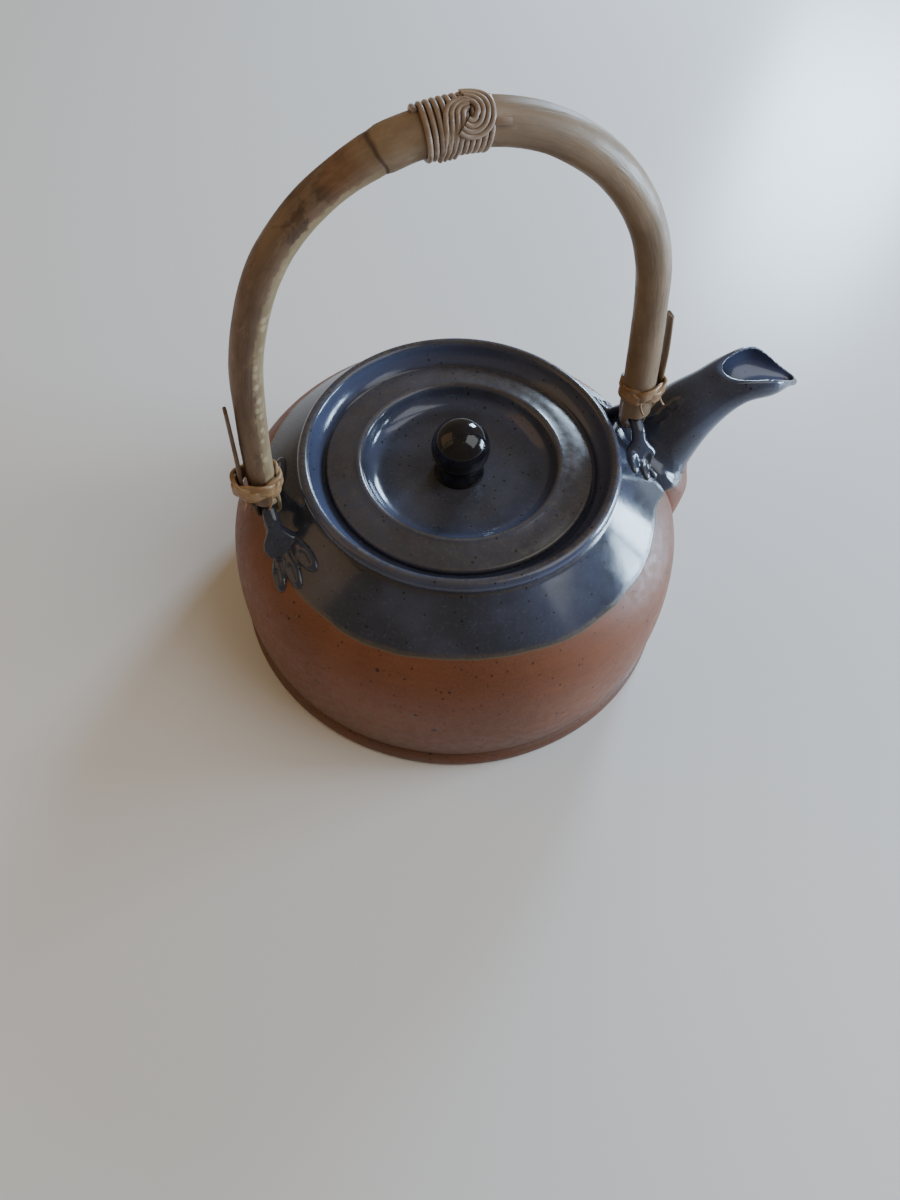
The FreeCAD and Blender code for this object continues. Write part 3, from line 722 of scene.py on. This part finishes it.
def make_spout():
    line = through(SPOUT_LINE, 5)
    x, z, _, rise, _ = SPOUT_LINE[0]
    along = Vector((math.cos(math.radians(rise)), 0, math.sin(math.radians(rise))))
    down = Vector((along.z, 0, -along.x))
    shape = through(ROOT_FLARE, 3)[:-1]
    flare = []
    for back, drop, radius, flat, *_ in shape:
        middle = Vector((x, 0, z)) - along * back + down * drop
        flare.append((middle.x, middle.z, radius, rise, flat))
    spout = tube("teapot_spout", flare + line, SPOUT_SIDES)
    # the root is worked down on to the shoulder: each ring of it stands a set gap off the wall,
    # closer at the top, behind the lug, and further below, where the clay was filled out
    for i, (middle, ring) in enumerate(zip(flare, shape)):
        top_gap, low_gap, pressed = ring[4:]
        for vertex in spout.data.vertices[i * SPOUT_SIDES:(i + 1) * SPOUT_SIDES]:
            place = vertex.co / MM
            below = (place - Vector((middle[0], 0, middle[1]))).dot(down) / (middle[2] * middle[4])
            gap = top_gap + (low_gap - top_gap) * (1 + below) / 2
            foot, normal = wall_foot(place)
            vertex.co = place.lerp(foot + normal * gap, pressed) * MM
    hollow = []
    for i, (x, z, r, rise, flat) in enumerate(line[:-2]):
        wall = SPOUT_WALL + (LIP_WALL - SPOUT_WALL) * min(1.0, i / 14)
        hollow.append((x, z, max(r - wall, 0.7), rise, flat))
    cut_away(spout, tube("channel", list(CHANNEL_START) + hollow, SPOUT_SIDES))
    outline = through(MOUTH_LINE, 4)
    deselect_all()
    bpy.ops.mesh.primitive_plane_add(size=1)
    knife = bpy.context.object
    edit_all()
    bpy.ops.mesh.delete(type="VERT")
    bpy.ops.object.mode_set(mode="OBJECT")
    knife.data.from_pydata(
        [(x * MM, -0.03, z * MM) for x, z in outline] + [(x * MM, -0.03, 0.13) for x, z in reversed(outline)],
        [], [list(range(2 * len(outline)))])
    edit_all()
    bpy.ops.mesh.extrude_region_move(TRANSFORM_OT_translate={"value": (0, 0.06, 0)})
    face_outwards()
    cut_away(spout, knife)
    cut_away(spout, pot_core(1.6))
    smoothed_clay(spout, VOXEL_MM, 6)
    marks = spout.data.attributes.new("inside", "FLOAT", "FACE")
    for face, mark in zip(spout.data.polygons, marks.data):
        spot = face.center / MM
        nearest = min(line, key=lambda s: (s[0] - spot.x) ** 2 + (s[1] - spot.z) ** 2)
        out = face.center / MM - Vector((nearest[0], 0, nearest[1]))
        mark.value = float(face.center.x > 92 * MM and out.dot(face.normal) < 0)
    return spout


spout = make_spout()


def spout_glaze():
    material, tree, shader = new_material("dipped_spout")
    place = node(tree, "TexCoord").outputs["Object"]
    axes = axes_of(tree, place)
    sharp = node(tree, "NewGeometry").outputs["Pointiness"]
    lip = times(tree, between(tree, sharp, 0.52, 0.60), between(tree, axes.outputs["Z"], 0.072, 0.078))
    line = glaze_line(tree, place)
    thin = sums(tree, "MAXIMUM", lip, times(tree, near(tree, line, 0.0006, 0.0009), 0.8))
    pooled = node(tree, "Attribute", attribute_name="inside").outputs["Fac"]
    glaze = glaze_on(tree, place, times(tree, pooled, 0.85), thin)
    dipped(tree, shader, place, between(tree, line, -0.00015, 0.00015), near(tree, line, 0.0, 0.00045), glaze)
    return material


spout.data.materials.append(spout_glaze())
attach(spout, "pot")
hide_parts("spout")

# ------------------------------------------------------------------------------------------------
# Lugs. Each is a strap of clay bent over a finger to leave the eye for the handle. Its ends are
# pressed on to the shoulder with three strokes of the fingers, which leave leaf-shaped hollows.

EYE_Z = 73.5
LUG_BACK_X = -72.9
LUG_FRONT_X = 70.7
STRAP_SIDES = 24
STRAP_RINGS = (
    (0.0, 81.6, 2.6, 2.1, 0), (3.4, 81.0, 2.6, 2.1, -22), (6.2, 79.0, 2.8, 2.1, -46),
    (8.2, 76.4, 3.0, 2.2, -66), (9.5, 74.0, 5.0, 2.3, -64), (10.8, 72.0, 7.0, 2.2, -56),
    (12.4, 70.0, 8.0, 1.9, -50), (14.8, 68.0, 7.2, 1.2, -42))
BACK_FINGERS = (((-67.2, -11.0), (-62.4, -27.4), 3.6), ((-70.6, -12.0), (-69.4, -29.0), 3.4),
                ((-74.0, -12.0), (-75.6, -26.0), 3.1))
FRONT_FINGERS = (((67.6, -8.0), (64.0, -21.0), 3.2), ((70.6, -9.0), (70.2, -22.0), 2.9),
                 ((73.4, -8.5), (76.0, -19.5), 2.9))


def shoulder_at(x, y):
    """The point of the outer wall under (x, y), and its outward normal, in mm."""
    radius = math.hypot(x, y)
    for (r0, z0), (r1, z1) in zip(OUTER_WALL, OUTER_WALL[1:]):
        if r0 <= radius <= r1:
            break
    share = (radius - r0) / (r1 - r0)
    steep = math.hypot(r1 - r0, z1 - z0)
    out = (z0 - z1) / steep
    normal = Vector((x / radius * out, y / radius * out, (r1 - r0) / steep))
    return Vector((x, y, z0 + share * (z1 - z0))), normal


def lump(name, start, end, width, depth, lift):
    """An egg-shaped lump of clay lying on the shoulder from start to end."""
    a, normal_a = shoulder_at(*start)
    b, normal_b = shoulder_at(*end)
    normal = (normal_a + normal_b).normalized()
    along = (b - a).normalized()
    across = normal.cross(along).normalized()
    turn = Matrix((along, across, along.cross(across))).transposed().to_4x4()
    deselect_all()
    bpy.ops.mesh.primitive_uv_sphere_add(segments=32, ring_count=16, radius=MM)
    piece = bpy.context.object
    piece.name = name
    middle = (a + b) / 2 + normal * lift
    piece.matrix_world = Matrix.Translation(middle * MM) @ turn @ Matrix.Diagonal(
        ((b - a).length / 2, width, depth, 1))
    settle()
    return piece


def skinned(name, sides, points):
    """A closed skin through rings of so many points each, given one ring after another."""
    deselect_all()
    bpy.ops.mesh.primitive_circle_add(vertices=sides, radius=MM, fill_type="NGON")
    piece = bpy.context.object
    piece.name = name
    edit_all()
    for _ in range(len(points) // sides - 1):
        bpy.ops.mesh.extrude_region_move(TRANSFORM_OT_translate={"value": (0, 0, MM)})
    bpy.ops.object.mode_set(mode="OBJECT")
    for vertex, place in zip(piece.data.vertices, points):
        vertex.co = place
    bpy.ops.object.mode_set(mode="EDIT")
    face_outwards()
    return piece


def strap(name, lug_x, side, skew):
    """Half of the strap over the eye, from its crown down to one foot."""
    rings = [(-1.0, 81.6, 2.4, 2.1, 0)] + list(STRAP_RINGS)
    points = []
    for reach, z, wide, thick, slope in rings:
        for i in range(STRAP_SIDES):
            a = 2 * math.pi * i / STRAP_SIDES
            flat = math.copysign(abs(math.cos(a)) ** 0.8, math.cos(a)) * wide
            up = math.sin(a) * thick
            tip = math.radians(slope)
            drift = skew * max(0.0, 78.0 - z) / 10.0
            points.append(((lug_x + flat + drift) * MM, side * (reach - up * math.sin(tip)) * MM,
                           (z + up * math.cos(tip)) * MM))
    return skinned(name, STRAP_SIDES, points)


def make_lug(name, lug_x, fingers, skew):
    lumps = []
    hollows = []
    for side in (-1, 1):
        lumps.append(strap("strap", lug_x, side, skew))
        for start, end, width in fingers:
            a = Vector((start[0], -side * start[1]))
            b = Vector((end[0], -side * end[1]))
            lumps.append(lump("finger", a, b, width, 2.3, 0.0))
            hollows.append(lump("hollow", a.lerp(b, 0.22), a.lerp(b, 1.04), width * 1.02, 3.4, 4.6))
    lug = joined(lumps)
    lug.name = name
    smoothed_clay(lug, 0.4, 6)
    for hollow in hollows:
        cut_away(lug, hollow)
    cut_away(lug, pot_core(1.2))
    smoothed_clay(lug, 0.35, 4)
    return lug


def lug_glaze():
    material, tree, shader = new_material("lug_glaze")
    place = node(tree, "TexCoord").outputs["Object"]
    sharp = node(tree, "NewGeometry").outputs["Pointiness"]
    ridge = between(tree, sharp, 0.51, 0.58)
    hollow = between(tree, sharp, 0.49, 0.44)
    glaze = glaze_on(tree, place, times(tree, hollow, 0.35), times(tree, ridge, 0.9))
    glaze_all_over(tree, shader, glaze)
    return material


lug_finish = lug_glaze()
for name, lug_x, fingers, skew in (
        ("lug_back", LUG_BACK_X, BACK_FINGERS, 3.2),
        ("lug_front", LUG_FRONT_X, FRONT_FINGERS, -0.6)):
    lug = make_lug("teapot_" + name, lug_x, fingers, skew)
    lug.data.materials.append(lug_finish)
    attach(lug, "pot")
    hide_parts(name)

# ------------------------------------------------------------------------------------------------
# Handle. One length of whole cane, bark left on, steamed to an arch. Each end is split: its inner
# half is cut away, and the skin left over is led through the eye of a lug and up outside again.

CANE_SIDES = 40
STRIP_SIDES = 16
CANE_END = 0.82
CANE_START = (-72.86, 84.6, 90.82)
CANE_ARCS = ((529.6, 5.82), (114.1, 16.96), (61.4, 98.91), (80.3, 49.54), (661.7, 5.29))
CANE_STEP_MM = 2.2
CANE_GIRTH = (
    (0.0, 4.9), (14.0, 4.8), (30.0, 4.9), (50.0, 5.05), (128.0, 5.1), (135.0, 5.3), (137.6, 5.55),
    (138.6, 5.35), (141.0, 5.85), (146.0, 5.75), (172.0, 5.9), (198.0, 5.85), (240.0, 5.75),
    (275.0, 5.7), (300.0, 6.0), (324.0, 5.95))


def cane_girth(run):
    """The cane's radius in mm at so many millimetres along the arch."""
    for (s0, r0), (s1, r1) in zip(CANE_GIRTH, CANE_GIRTH[1:]):
        if run <= s1:
            share = (run - s0) / (s1 - s0)
            share = share * share * (3 - 2 * share)
            return r0 + share * (r1 - r0)
    return CANE_GIRTH[-1][1]


def arch_line():
    """The arch's middle line, as (x, z, rise, run) every few millimetres."""
    x, z, rise = CANE_START
    run = 0.0
    line = [(x, z, rise, run)]
    for radius, turn in CANE_ARCS:
        steps = max(2, round(radius * math.radians(turn) / CANE_STEP_MM))
        for _ in range(steps):
            half = math.radians(turn / steps / 2)
            chord = 2 * radius * math.sin(half)
            x += chord * math.cos(math.radians(rise) - half)
            z += chord * math.sin(math.radians(rise) - half)
            rise -= turn / steps
            run += radius * 2 * half
            line.append((x, z, rise, run))
    return line


ARCH = arch_line()


def strip(name, lug_x, way, tip_gap):
    """The split skin of one cane end: down beside the lug, through its eye and up outside."""
    path = (
        (-3.4, 24.0, 4.4, 1.0), (-3.8, 17.0, 4.2, 1.1), (-4.2, 11.5, 3.6, 0.9), (-4.2, 7.5, 2.5, 0.8),
        (-3.8, 5.0, 2.3, 0.8), (-2.2, 3.8, 2.2, 0.8), (0.0, 3.6, 2.2, 0.8), (2.2, 3.8, 2.2, 0.8),
        (3.8, 5.0, 2.3, 0.8), (4.2, 7.5, 2.4, 0.8), (4.5, 10.0, 2.4, 0.8), (5.7, 13.0, 2.4, 0.8),
        (6.9, 15.5, 2.4, 0.8), (7.0, 22.0, 2.3, 0.75), (6.6, 30.0, 2.2, 0.75),
        (5.9 + tip_gap * 0.3, 42.0, 2.1, 0.7), (4.6 + tip_gap, 56.5, 1.9, 0.65))
    rings = through(path, 4)
    points = []
    for i, (out, rise, wide, thick) in enumerate(rings):
        before = rings[max(i - 1, 0)]
        after = rings[min(i + 1, len(rings) - 1)]
        along = Vector((after[0] - before[0], after[1] - before[1])).normalized()
        for j in range(STRIP_SIDES):
            a = 2 * math.pi * j / STRIP_SIDES
            side = math.copysign(abs(math.cos(a)) ** 0.5, math.cos(a)) * wide
            off = math.copysign(abs(math.sin(a)) ** 0.6, math.sin(a)) * thick
            points.append(((lug_x + way * (out - along.y * off)) * MM, side * MM,
                           (EYE_Z + rise + along.x * off) * MM))
    return skinned(name, STRIP_SIDES, points)


def straighten(piece):
    """Store each point's place beside the arch: its run along it, and its two offsets from it."""
    runs = piece.data.attributes.new("run", "FLOAT_VECTOR", "POINT")
    for vertex, store in zip(piece.data.vertices, runs.data):
        x, y, z = vertex.co / MM
        near_ring = min(ARCH, key=lambda ring: (ring[0] - x) ** 2 + (ring[1] - z) ** 2)
        rise = math.radians(near_ring[2])
        dx = x - near_ring[0]
        dz = z - near_ring[1]
        store.vector = Vector((
            near_ring[3] + dx * math.cos(rise) + dz * math.sin(rise),
            dz * math.cos(rise) - dx * math.sin(rise), y)) * MM


def make_cane():
    rings = [(x, z, cane_girth(run), rise, 1.0) for x, z, rise, run in ARCH]
    low_x, low_z, low_r, low_rise, _ = rings[0]
    last_x, last_z, last_r, last_rise, _ = rings[-1]
    rings = ([(low_x, low_z, low_r * CANE_END, low_rise, 1.0), (low_x, low_z + 0.7, low_r, low_rise, 1.0)]
             + rings[1:-1]
             + [(last_x, last_z + 0.7, last_r, last_rise, 1.0),
                (last_x, last_z, last_r * CANE_END, last_rise, 1.0)])
    cane = tube("handle_cane_arch", rings, CANE_SIDES)
    soft_waver(cane, 0.5 * MM, 0.022, "cane_waver")
    strips = [strip("rear_strip", LUG_BACK_X, -1, 1.6), strip("front_strip", LUG_FRONT_X, 1, -1.3)]
    cane = joined([cane] + strips)
    straighten(cane)
    rounded(cane, 50)
    return cane


cane = make_cane()


def fibre_group():
    """Plant fibre: fine streaks along the run, a broad blotch, and pale scuffs."""
    group, given, made = group_with(
        "cane_fibre", [("Coordinate", "Vector", None), ("Fineness", "Float", 1.0)],
        [("Streak", "Float"), ("Blotch", "Float"), ("Scuff", "Float"), ("Height", "Float")])
    scaled = node(group, "VectorMath", operation="SCALE")
    link(group, given.outputs["Coordinate"], scaled.inputs[0])
    link(group, given.outputs["Fineness"], scaled.inputs["Scale"])
    long = node(group, "Mapping")
    long.inputs["Scale"].default_value = (0.10, 1, 1)
    link(group, scaled.outputs[0], long.inputs["Vector"])
    streak = noise(group, long.outputs[0], 900.0, 4.0, 0.65)
    link(group, between(group, streak, 0.3, 0.7), made.inputs["Streak"])
    stout = node(group, "Mapping")
    stout.inputs["Scale"].default_value = (0.45, 1, 1)
    link(group, scaled.outputs[0], stout.inputs["Vector"])
    link(group, between(group, noise(group, stout.outputs[0], 110.0, 5.0, 0.62), 0.38, 0.66),
         made.inputs["Blotch"])
    link(group, between(group, noise(group, stout.outputs[0], 300.0, 3.0, 0.7), 0.58, 0.68),
         made.inputs["Scuff"])
    link(group, streak, made.inputs["Height"])
    return group


fibre_tree = fibre_group()


def cane_bark():
    material, tree, shader = new_material("cane_bark")
    run = node(tree, "Attribute", attribute_name="run").outputs["Vector"]
    axes = axes_of(tree, run)
    along = axes.outputs["X"]
    fibre = node(tree, "Group", node_tree=fibre_tree)
    link(tree, run, fibre.inputs["Coordinate"])
    above = axes.outputs["Y"]
    # the front half is an even tan; the rear half is brown outside and pale along its inner side
    tan = blended(tree, fibre.outputs["Blotch"], (0.185, 0.122, 0.072), (0.260, 0.178, 0.108))
    brown = blended(tree, fibre.outputs["Blotch"], (0.112, 0.066, 0.045), (0.182, 0.115, 0.074))
    stain = between(tree, noise(tree, run, 130.0, 6.0, 0.7, 0.6), 0.50, 0.60)
    stain = times(tree, stain, near(tree, along, 0.120, 0.040))
    brown = blended(tree, times(tree, stain, 0.75), brown, (0.042, 0.020, 0.014))
    rust = times(tree, near(tree, along, 0.126, 0.018), between(
        tree, noise(tree, run, 55.0, 4.0, 0.6), 0.42, 0.58))
    brown = blended(tree, times(tree, rust, 0.6), brown, (0.230, 0.095, 0.040))
    pale = blended(tree, fibre.outputs["Blotch"], (0.225, 0.160, 0.092), (0.330, 0.255, 0.150))
    jag = times(tree, sums(tree, "SUBTRACT", noise(tree, run, 190.0, 4.0, 0.65), 0.5), 0.0050)
    inner = between(tree, sums(tree, "ADD", above, jag), -0.0006, -0.0016)
    side = blended(tree, inner, brown, pale)
    bark = blended(tree, between(tree, along, 0.139, 0.137), tan, side)
    bark = blended(tree, times(tree, fibre.outputs["Streak"], 0.30), bark, (0.27, 0.185, 0.105))
    # a band of bark has chipped away along the inner side of the rear leg
    chips = node(tree, "TexVoronoi", feature="F1", Scale=300.0, Randomness=1.0)
    link(tree, run, chips.inputs["Vector"])
    band = times(tree, near(tree, above, -0.0024, 0.0022), between(tree, along, 0.115, 0.080))
    chipped = times(tree, band, between(tree, chips.outputs["Distance"], 0.50, 0.25))
    bark = blended(tree, times(tree, chipped, 0.8), bark, (0.46, 0.38, 0.24))
    bark = blended(tree, times(tree, fibre.outputs["Scuff"], 0.18), bark, (0.40, 0.31, 0.20))
    # the joint of the cane, an old leaf scar: a pale swelling, then a dark, stepped seam
    step = times(tree, sums(tree, "SUBTRACT", noise(tree, run, 90.0, 1.0), 0.5), 0.006)
    place = sums(tree, "ADD", along, step)
    swelling = near(tree, place, 0.1355, 0.0040)
    bark = blended(tree, times(tree, swelling, 0.45), bark, (0.30, 0.215, 0.125))
    node_seam = near(tree, place, 0.1385, 0.0009)
    bark = blended(tree, times(tree, node_seam, 0.8), bark, (0.045, 0.024, 0.016))
    link(tree, bark, shader.inputs["Base Color"])
    rough = between(tree, fibre.outputs["Blotch"], 0.0, 1.0, 0.50, 0.36)
    link(tree, rough, shader.inputs["Roughness"])
    shader.inputs["Specular IOR Level"].default_value = 0.45
    relief = sums(tree, "SUBTRACT", fibre.outputs["Height"], times(tree, node_seam, 0.6))
    bumped(tree, shader, relief, 0.5, 0.0004)
    return material


cane.data.materials.append(cane_bark())
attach(cane, "handle")
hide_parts("handle_cane")

# ------------------------------------------------------------------------------------------------
# Rattan rings. Split rattan plaited three-strand round each cane end and the strip beside it, to
# clamp the strip. The strands are flat, golden and glossy, and a cut end or two sticks out below.

RING_BACK_Z = 94.6
RING_FRONT_Z = 97.2
RING_FRONT_X = 69.7
RING_WAVES = 2
RING_POINTS = 150
STRAND_WIDE = 2.45
STRAND_THICK = 0.72


def ring_path(turn, grow):
    """A point of the oval that the ring runs along, round the cane end and the strip beside it."""
    a = 2 * math.pi * turn
    reach = 3.1 * max(0.0, math.cos(a)) ** 0.5
    return (6.15 + grow) * math.cos(a) + reach, (6.15 + grow) * math.sin(a)


def flat_strand():
    """The cross-section of a split strand, as a small curve that lies round the path."""
    bpy.ops.curve.primitive_bezier_circle_add(radius=1)
    section = bpy.context.object
    for spot in section.data.splines[0].bezier_points:
        for corner in ("co", "handle_left", "handle_right"):
            place = getattr(spot, corner)
            setattr(spot, corner, (place.x * STRAND_THICK * MM, place.y * STRAND_WIDE * MM, 0))
    return section


def strand(name, points, section=None, round_mm=0.0):
    """One strand of rattan along the points, in mm: flat and closed, or round and open."""
    curve = bpy.data.curves.new(name, "CURVE")
    curve.dimensions = "3D"
    curve.twist_mode = "Z_UP" if section else "MINIMUM"
    curve.resolution_u = 2
    spline = curve.splines.new("NURBS")
    spline.points.add(len(points) - 1)
    for spot, place in zip(spline.points, points):
        spot.co = (*[v * MM for v in place], 1)
    spline.order_u = 4
    spline.use_cyclic_u = bool(section)
    spline.use_endpoint_u = not section
    if section:
        curve.bevel_mode = "OBJECT"
        curve.bevel_object = section
    else:
        curve.bevel_depth = round_mm * MM
        curve.bevel_resolution = 3
    curve.use_fill_caps = True
    piece = bpy.data.objects.new(name, curve)
    bpy.context.scene.collection.objects.link(piece)
    choose(piece)
    bpy.ops.object.convert(target="MESH")
    return bpy.context.object


def make_ring(name, ring_x, mid_z, way):
    section = flat_strand()
    strands = []
    for lead in range(3):
        points = []
        for i in range(RING_POINTS):
            turn = i / RING_POINTS
            phase = 2 * math.pi * (RING_WAVES * turn + lead / 3)
            x, y = ring_path(turn, 0.60 * math.sin(2 * phase))
            points.append((ring_x + way * x, y, mid_z + 1.4 * math.sin(phase)))
        strands.append(strand("plait", points, section))
    for tail_turn, drop in ((0.70, 7.5), (0.86, 6.0)):
        x, y = ring_path(tail_turn, 0.3)
        strands.append(strand("tail", [
            (ring_x + way * x, y, mid_z - 1.0), (ring_x + way * x, y - 0.5, mid_z - 3.5),
            (ring_x + way * (x + 0.9), y - 1.2, mid_z - drop * 0.8),
            (ring_x + way * (x + 1.9), y - 1.5, mid_z - drop)], round_mm=0.42))
    bpy.data.objects.remove(section)
    ring = joined(strands)
    ring.name = name
    rounded(ring, 60)
    return ring


def rattan_skin(name, pale, deep, shade):
    """Split rattan: fine bright streaks, with painted shade from ambient occlusion darkening the colour down
    between the strands.
    """
    material, tree, shader = new_material(name)
    place = node(tree, "TexCoord").outputs["Object"]
    fibre = node(tree, "Group", node_tree=fibre_tree)
    fibre.inputs["Fineness"].default_value = 1.3
    link(tree, place, fibre.inputs["Coordinate"])
    skin = blended(tree, fibre.outputs["Blotch"], deep, pale)
    skin = blended(tree, times(tree, fibre.outputs["Streak"], 0.35), skin, shade)
    # painted shade: ambient occlusion darkens the colour towards a quarter of the deep tone in the crevices
    # between and under the strands
    crevice_occlusion = node(tree, "AmbientOcclusion", samples=4, Distance=0.0016)
    painted_crevice_shade = between(tree, crevice_occlusion.outputs["AO"], 0.75, 0.25)
    skin = blended(tree, times(tree, painted_crevice_shade, 0.8), skin, tuple(v * 0.25 for v in deep))
    link(tree, skin, shader.inputs["Base Color"])
    link(tree, between(tree, fibre.outputs["Streak"], 0.0, 1.0, 0.30, 0.45), shader.inputs["Roughness"])
    bumped(tree, shader, fibre.outputs["Height"], 0.4, 0.0003)
    return material


golden_rattan = rattan_skin("golden_rattan", (0.42, 0.27, 0.14), (0.26, 0.145, 0.065), (0.20, 0.11, 0.05))
for name, ring_x, mid_z, way in (
        ("back", LUG_BACK_X, RING_BACK_Z, -1), ("front", RING_FRONT_X, RING_FRONT_Z, 1)):
    ring = make_ring("handle_ring_" + name, ring_x, mid_z, way)
    ring.data.materials.append(golden_rattan)
    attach(ring, "handle")
    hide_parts("rattan_ring_" + name)

# ------------------------------------------------------------------------------------------------
# Top knot. A binding of thin round rattan at the crown of the arch, which hides where the strand
# starts and ends. It is wound tight round the cane and finished with a swirl of parallel turns.

KNOT_FROM = 149.0
KNOT_TO = 167.8
CORD_R = 0.66
KNOT_HEART = 161.0
KNOT_R = 7.0
HEART_TURN = math.radians(41)


def beside_arch(run, up, y):
    """The point at so many mm along the arch, up from its middle line and over to the side."""
    for a, b in zip(ARCH, ARCH[1:]):
        if a[3] <= run <= b[3]:
            break
    share = (run - a[3]) / (b[3] - a[3])
    x, z, rise = (a[i] + share * (b[i] - a[i]) for i in range(3))
    tip = math.radians(rise)
    return x - up * math.sin(tip), y, z + up * math.cos(tip)


def on_knot(points):
    """Places on the binding from flat ones, (along, up) in mm, round the heart of the swirl."""
    return [beside_arch(
        KNOT_HEART + min(5.9, max(-10.4, u)), (KNOT_R + 0.35 * max(0.0, 1 - math.hypot(u, v) / 6)) *
        math.cos(HEART_TURN - v / KNOT_R), -KNOT_R * math.sin(HEART_TURN - v / KNOT_R)) for u, v in points]


def make_knot():
    cords = []
    turns = 11
    wound = []
    for i in range(turns * 24 + 1):
        a = 2 * math.pi * i / 24
        run = KNOT_FROM + CORD_R + (KNOT_TO - KNOT_FROM - 2 * CORD_R) * i / (turns * 24)
        wound.append(beside_arch(run, 6.35 * math.cos(a), 6.35 * math.sin(a)))
    cords.append(strand("winding", wound, round_mm=CORD_R + 0.12))
    # the finishing turns: cords that climb the near side and curl in, and others that come out
    # between them, round below and over the top, so that together they make a swirl
    for layer in range(4):
        reach = 1.3 + 1.4 * layer
        climb = [(-reach - 1.8, -13.0), (-reach - 1.3, -9.0), (-reach - 0.5, -4.5)]
        for i in range(12):
            a = math.radians(185 - 10 * i)
            shrink = reach * (1 - 0.04 * i)
            climb.append((shrink * math.cos(a), shrink * math.sin(a)))
        cords.append(strand("climb", on_knot(climb), round_mm=CORD_R + 0.1))
        sweep = []
        for i in range(24):
            a = math.radians(225 + 10 * i)
            widen = reach * (0.8 + 0.015 * min(i, 13)) + 0.24 * max(0, i - 13)
            sweep.append((0.4 + widen * math.cos(a), -0.6 + widen * math.sin(a)))
        cords.append(strand("sweep", on_knot(sweep), round_mm=CORD_R + 0.1))
    tail = [beside_arch(KNOT_TO - 1.0, 3.0, -5.4), beside_arch(KNOT_TO + 0.6, 3.4, -6.0),
            beside_arch(KNOT_TO + 2.0, 3.5, -6.1), beside_arch(KNOT_TO + 3.4, 3.4, -6.2)]
    cords.append(strand("tail", tail, round_mm=CORD_R + 0.25))
    knot = joined(cords)
    knot.name = "handle_top_knot"
    rounded(knot, 60)
    return knot


knot = make_knot()
knot.data.materials.append(
    rattan_skin("dark_rattan", (0.50, 0.39, 0.29), (0.30, 0.215, 0.155), (0.18, 0.12, 0.09)))
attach(knot, "handle")
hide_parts("top_knot")
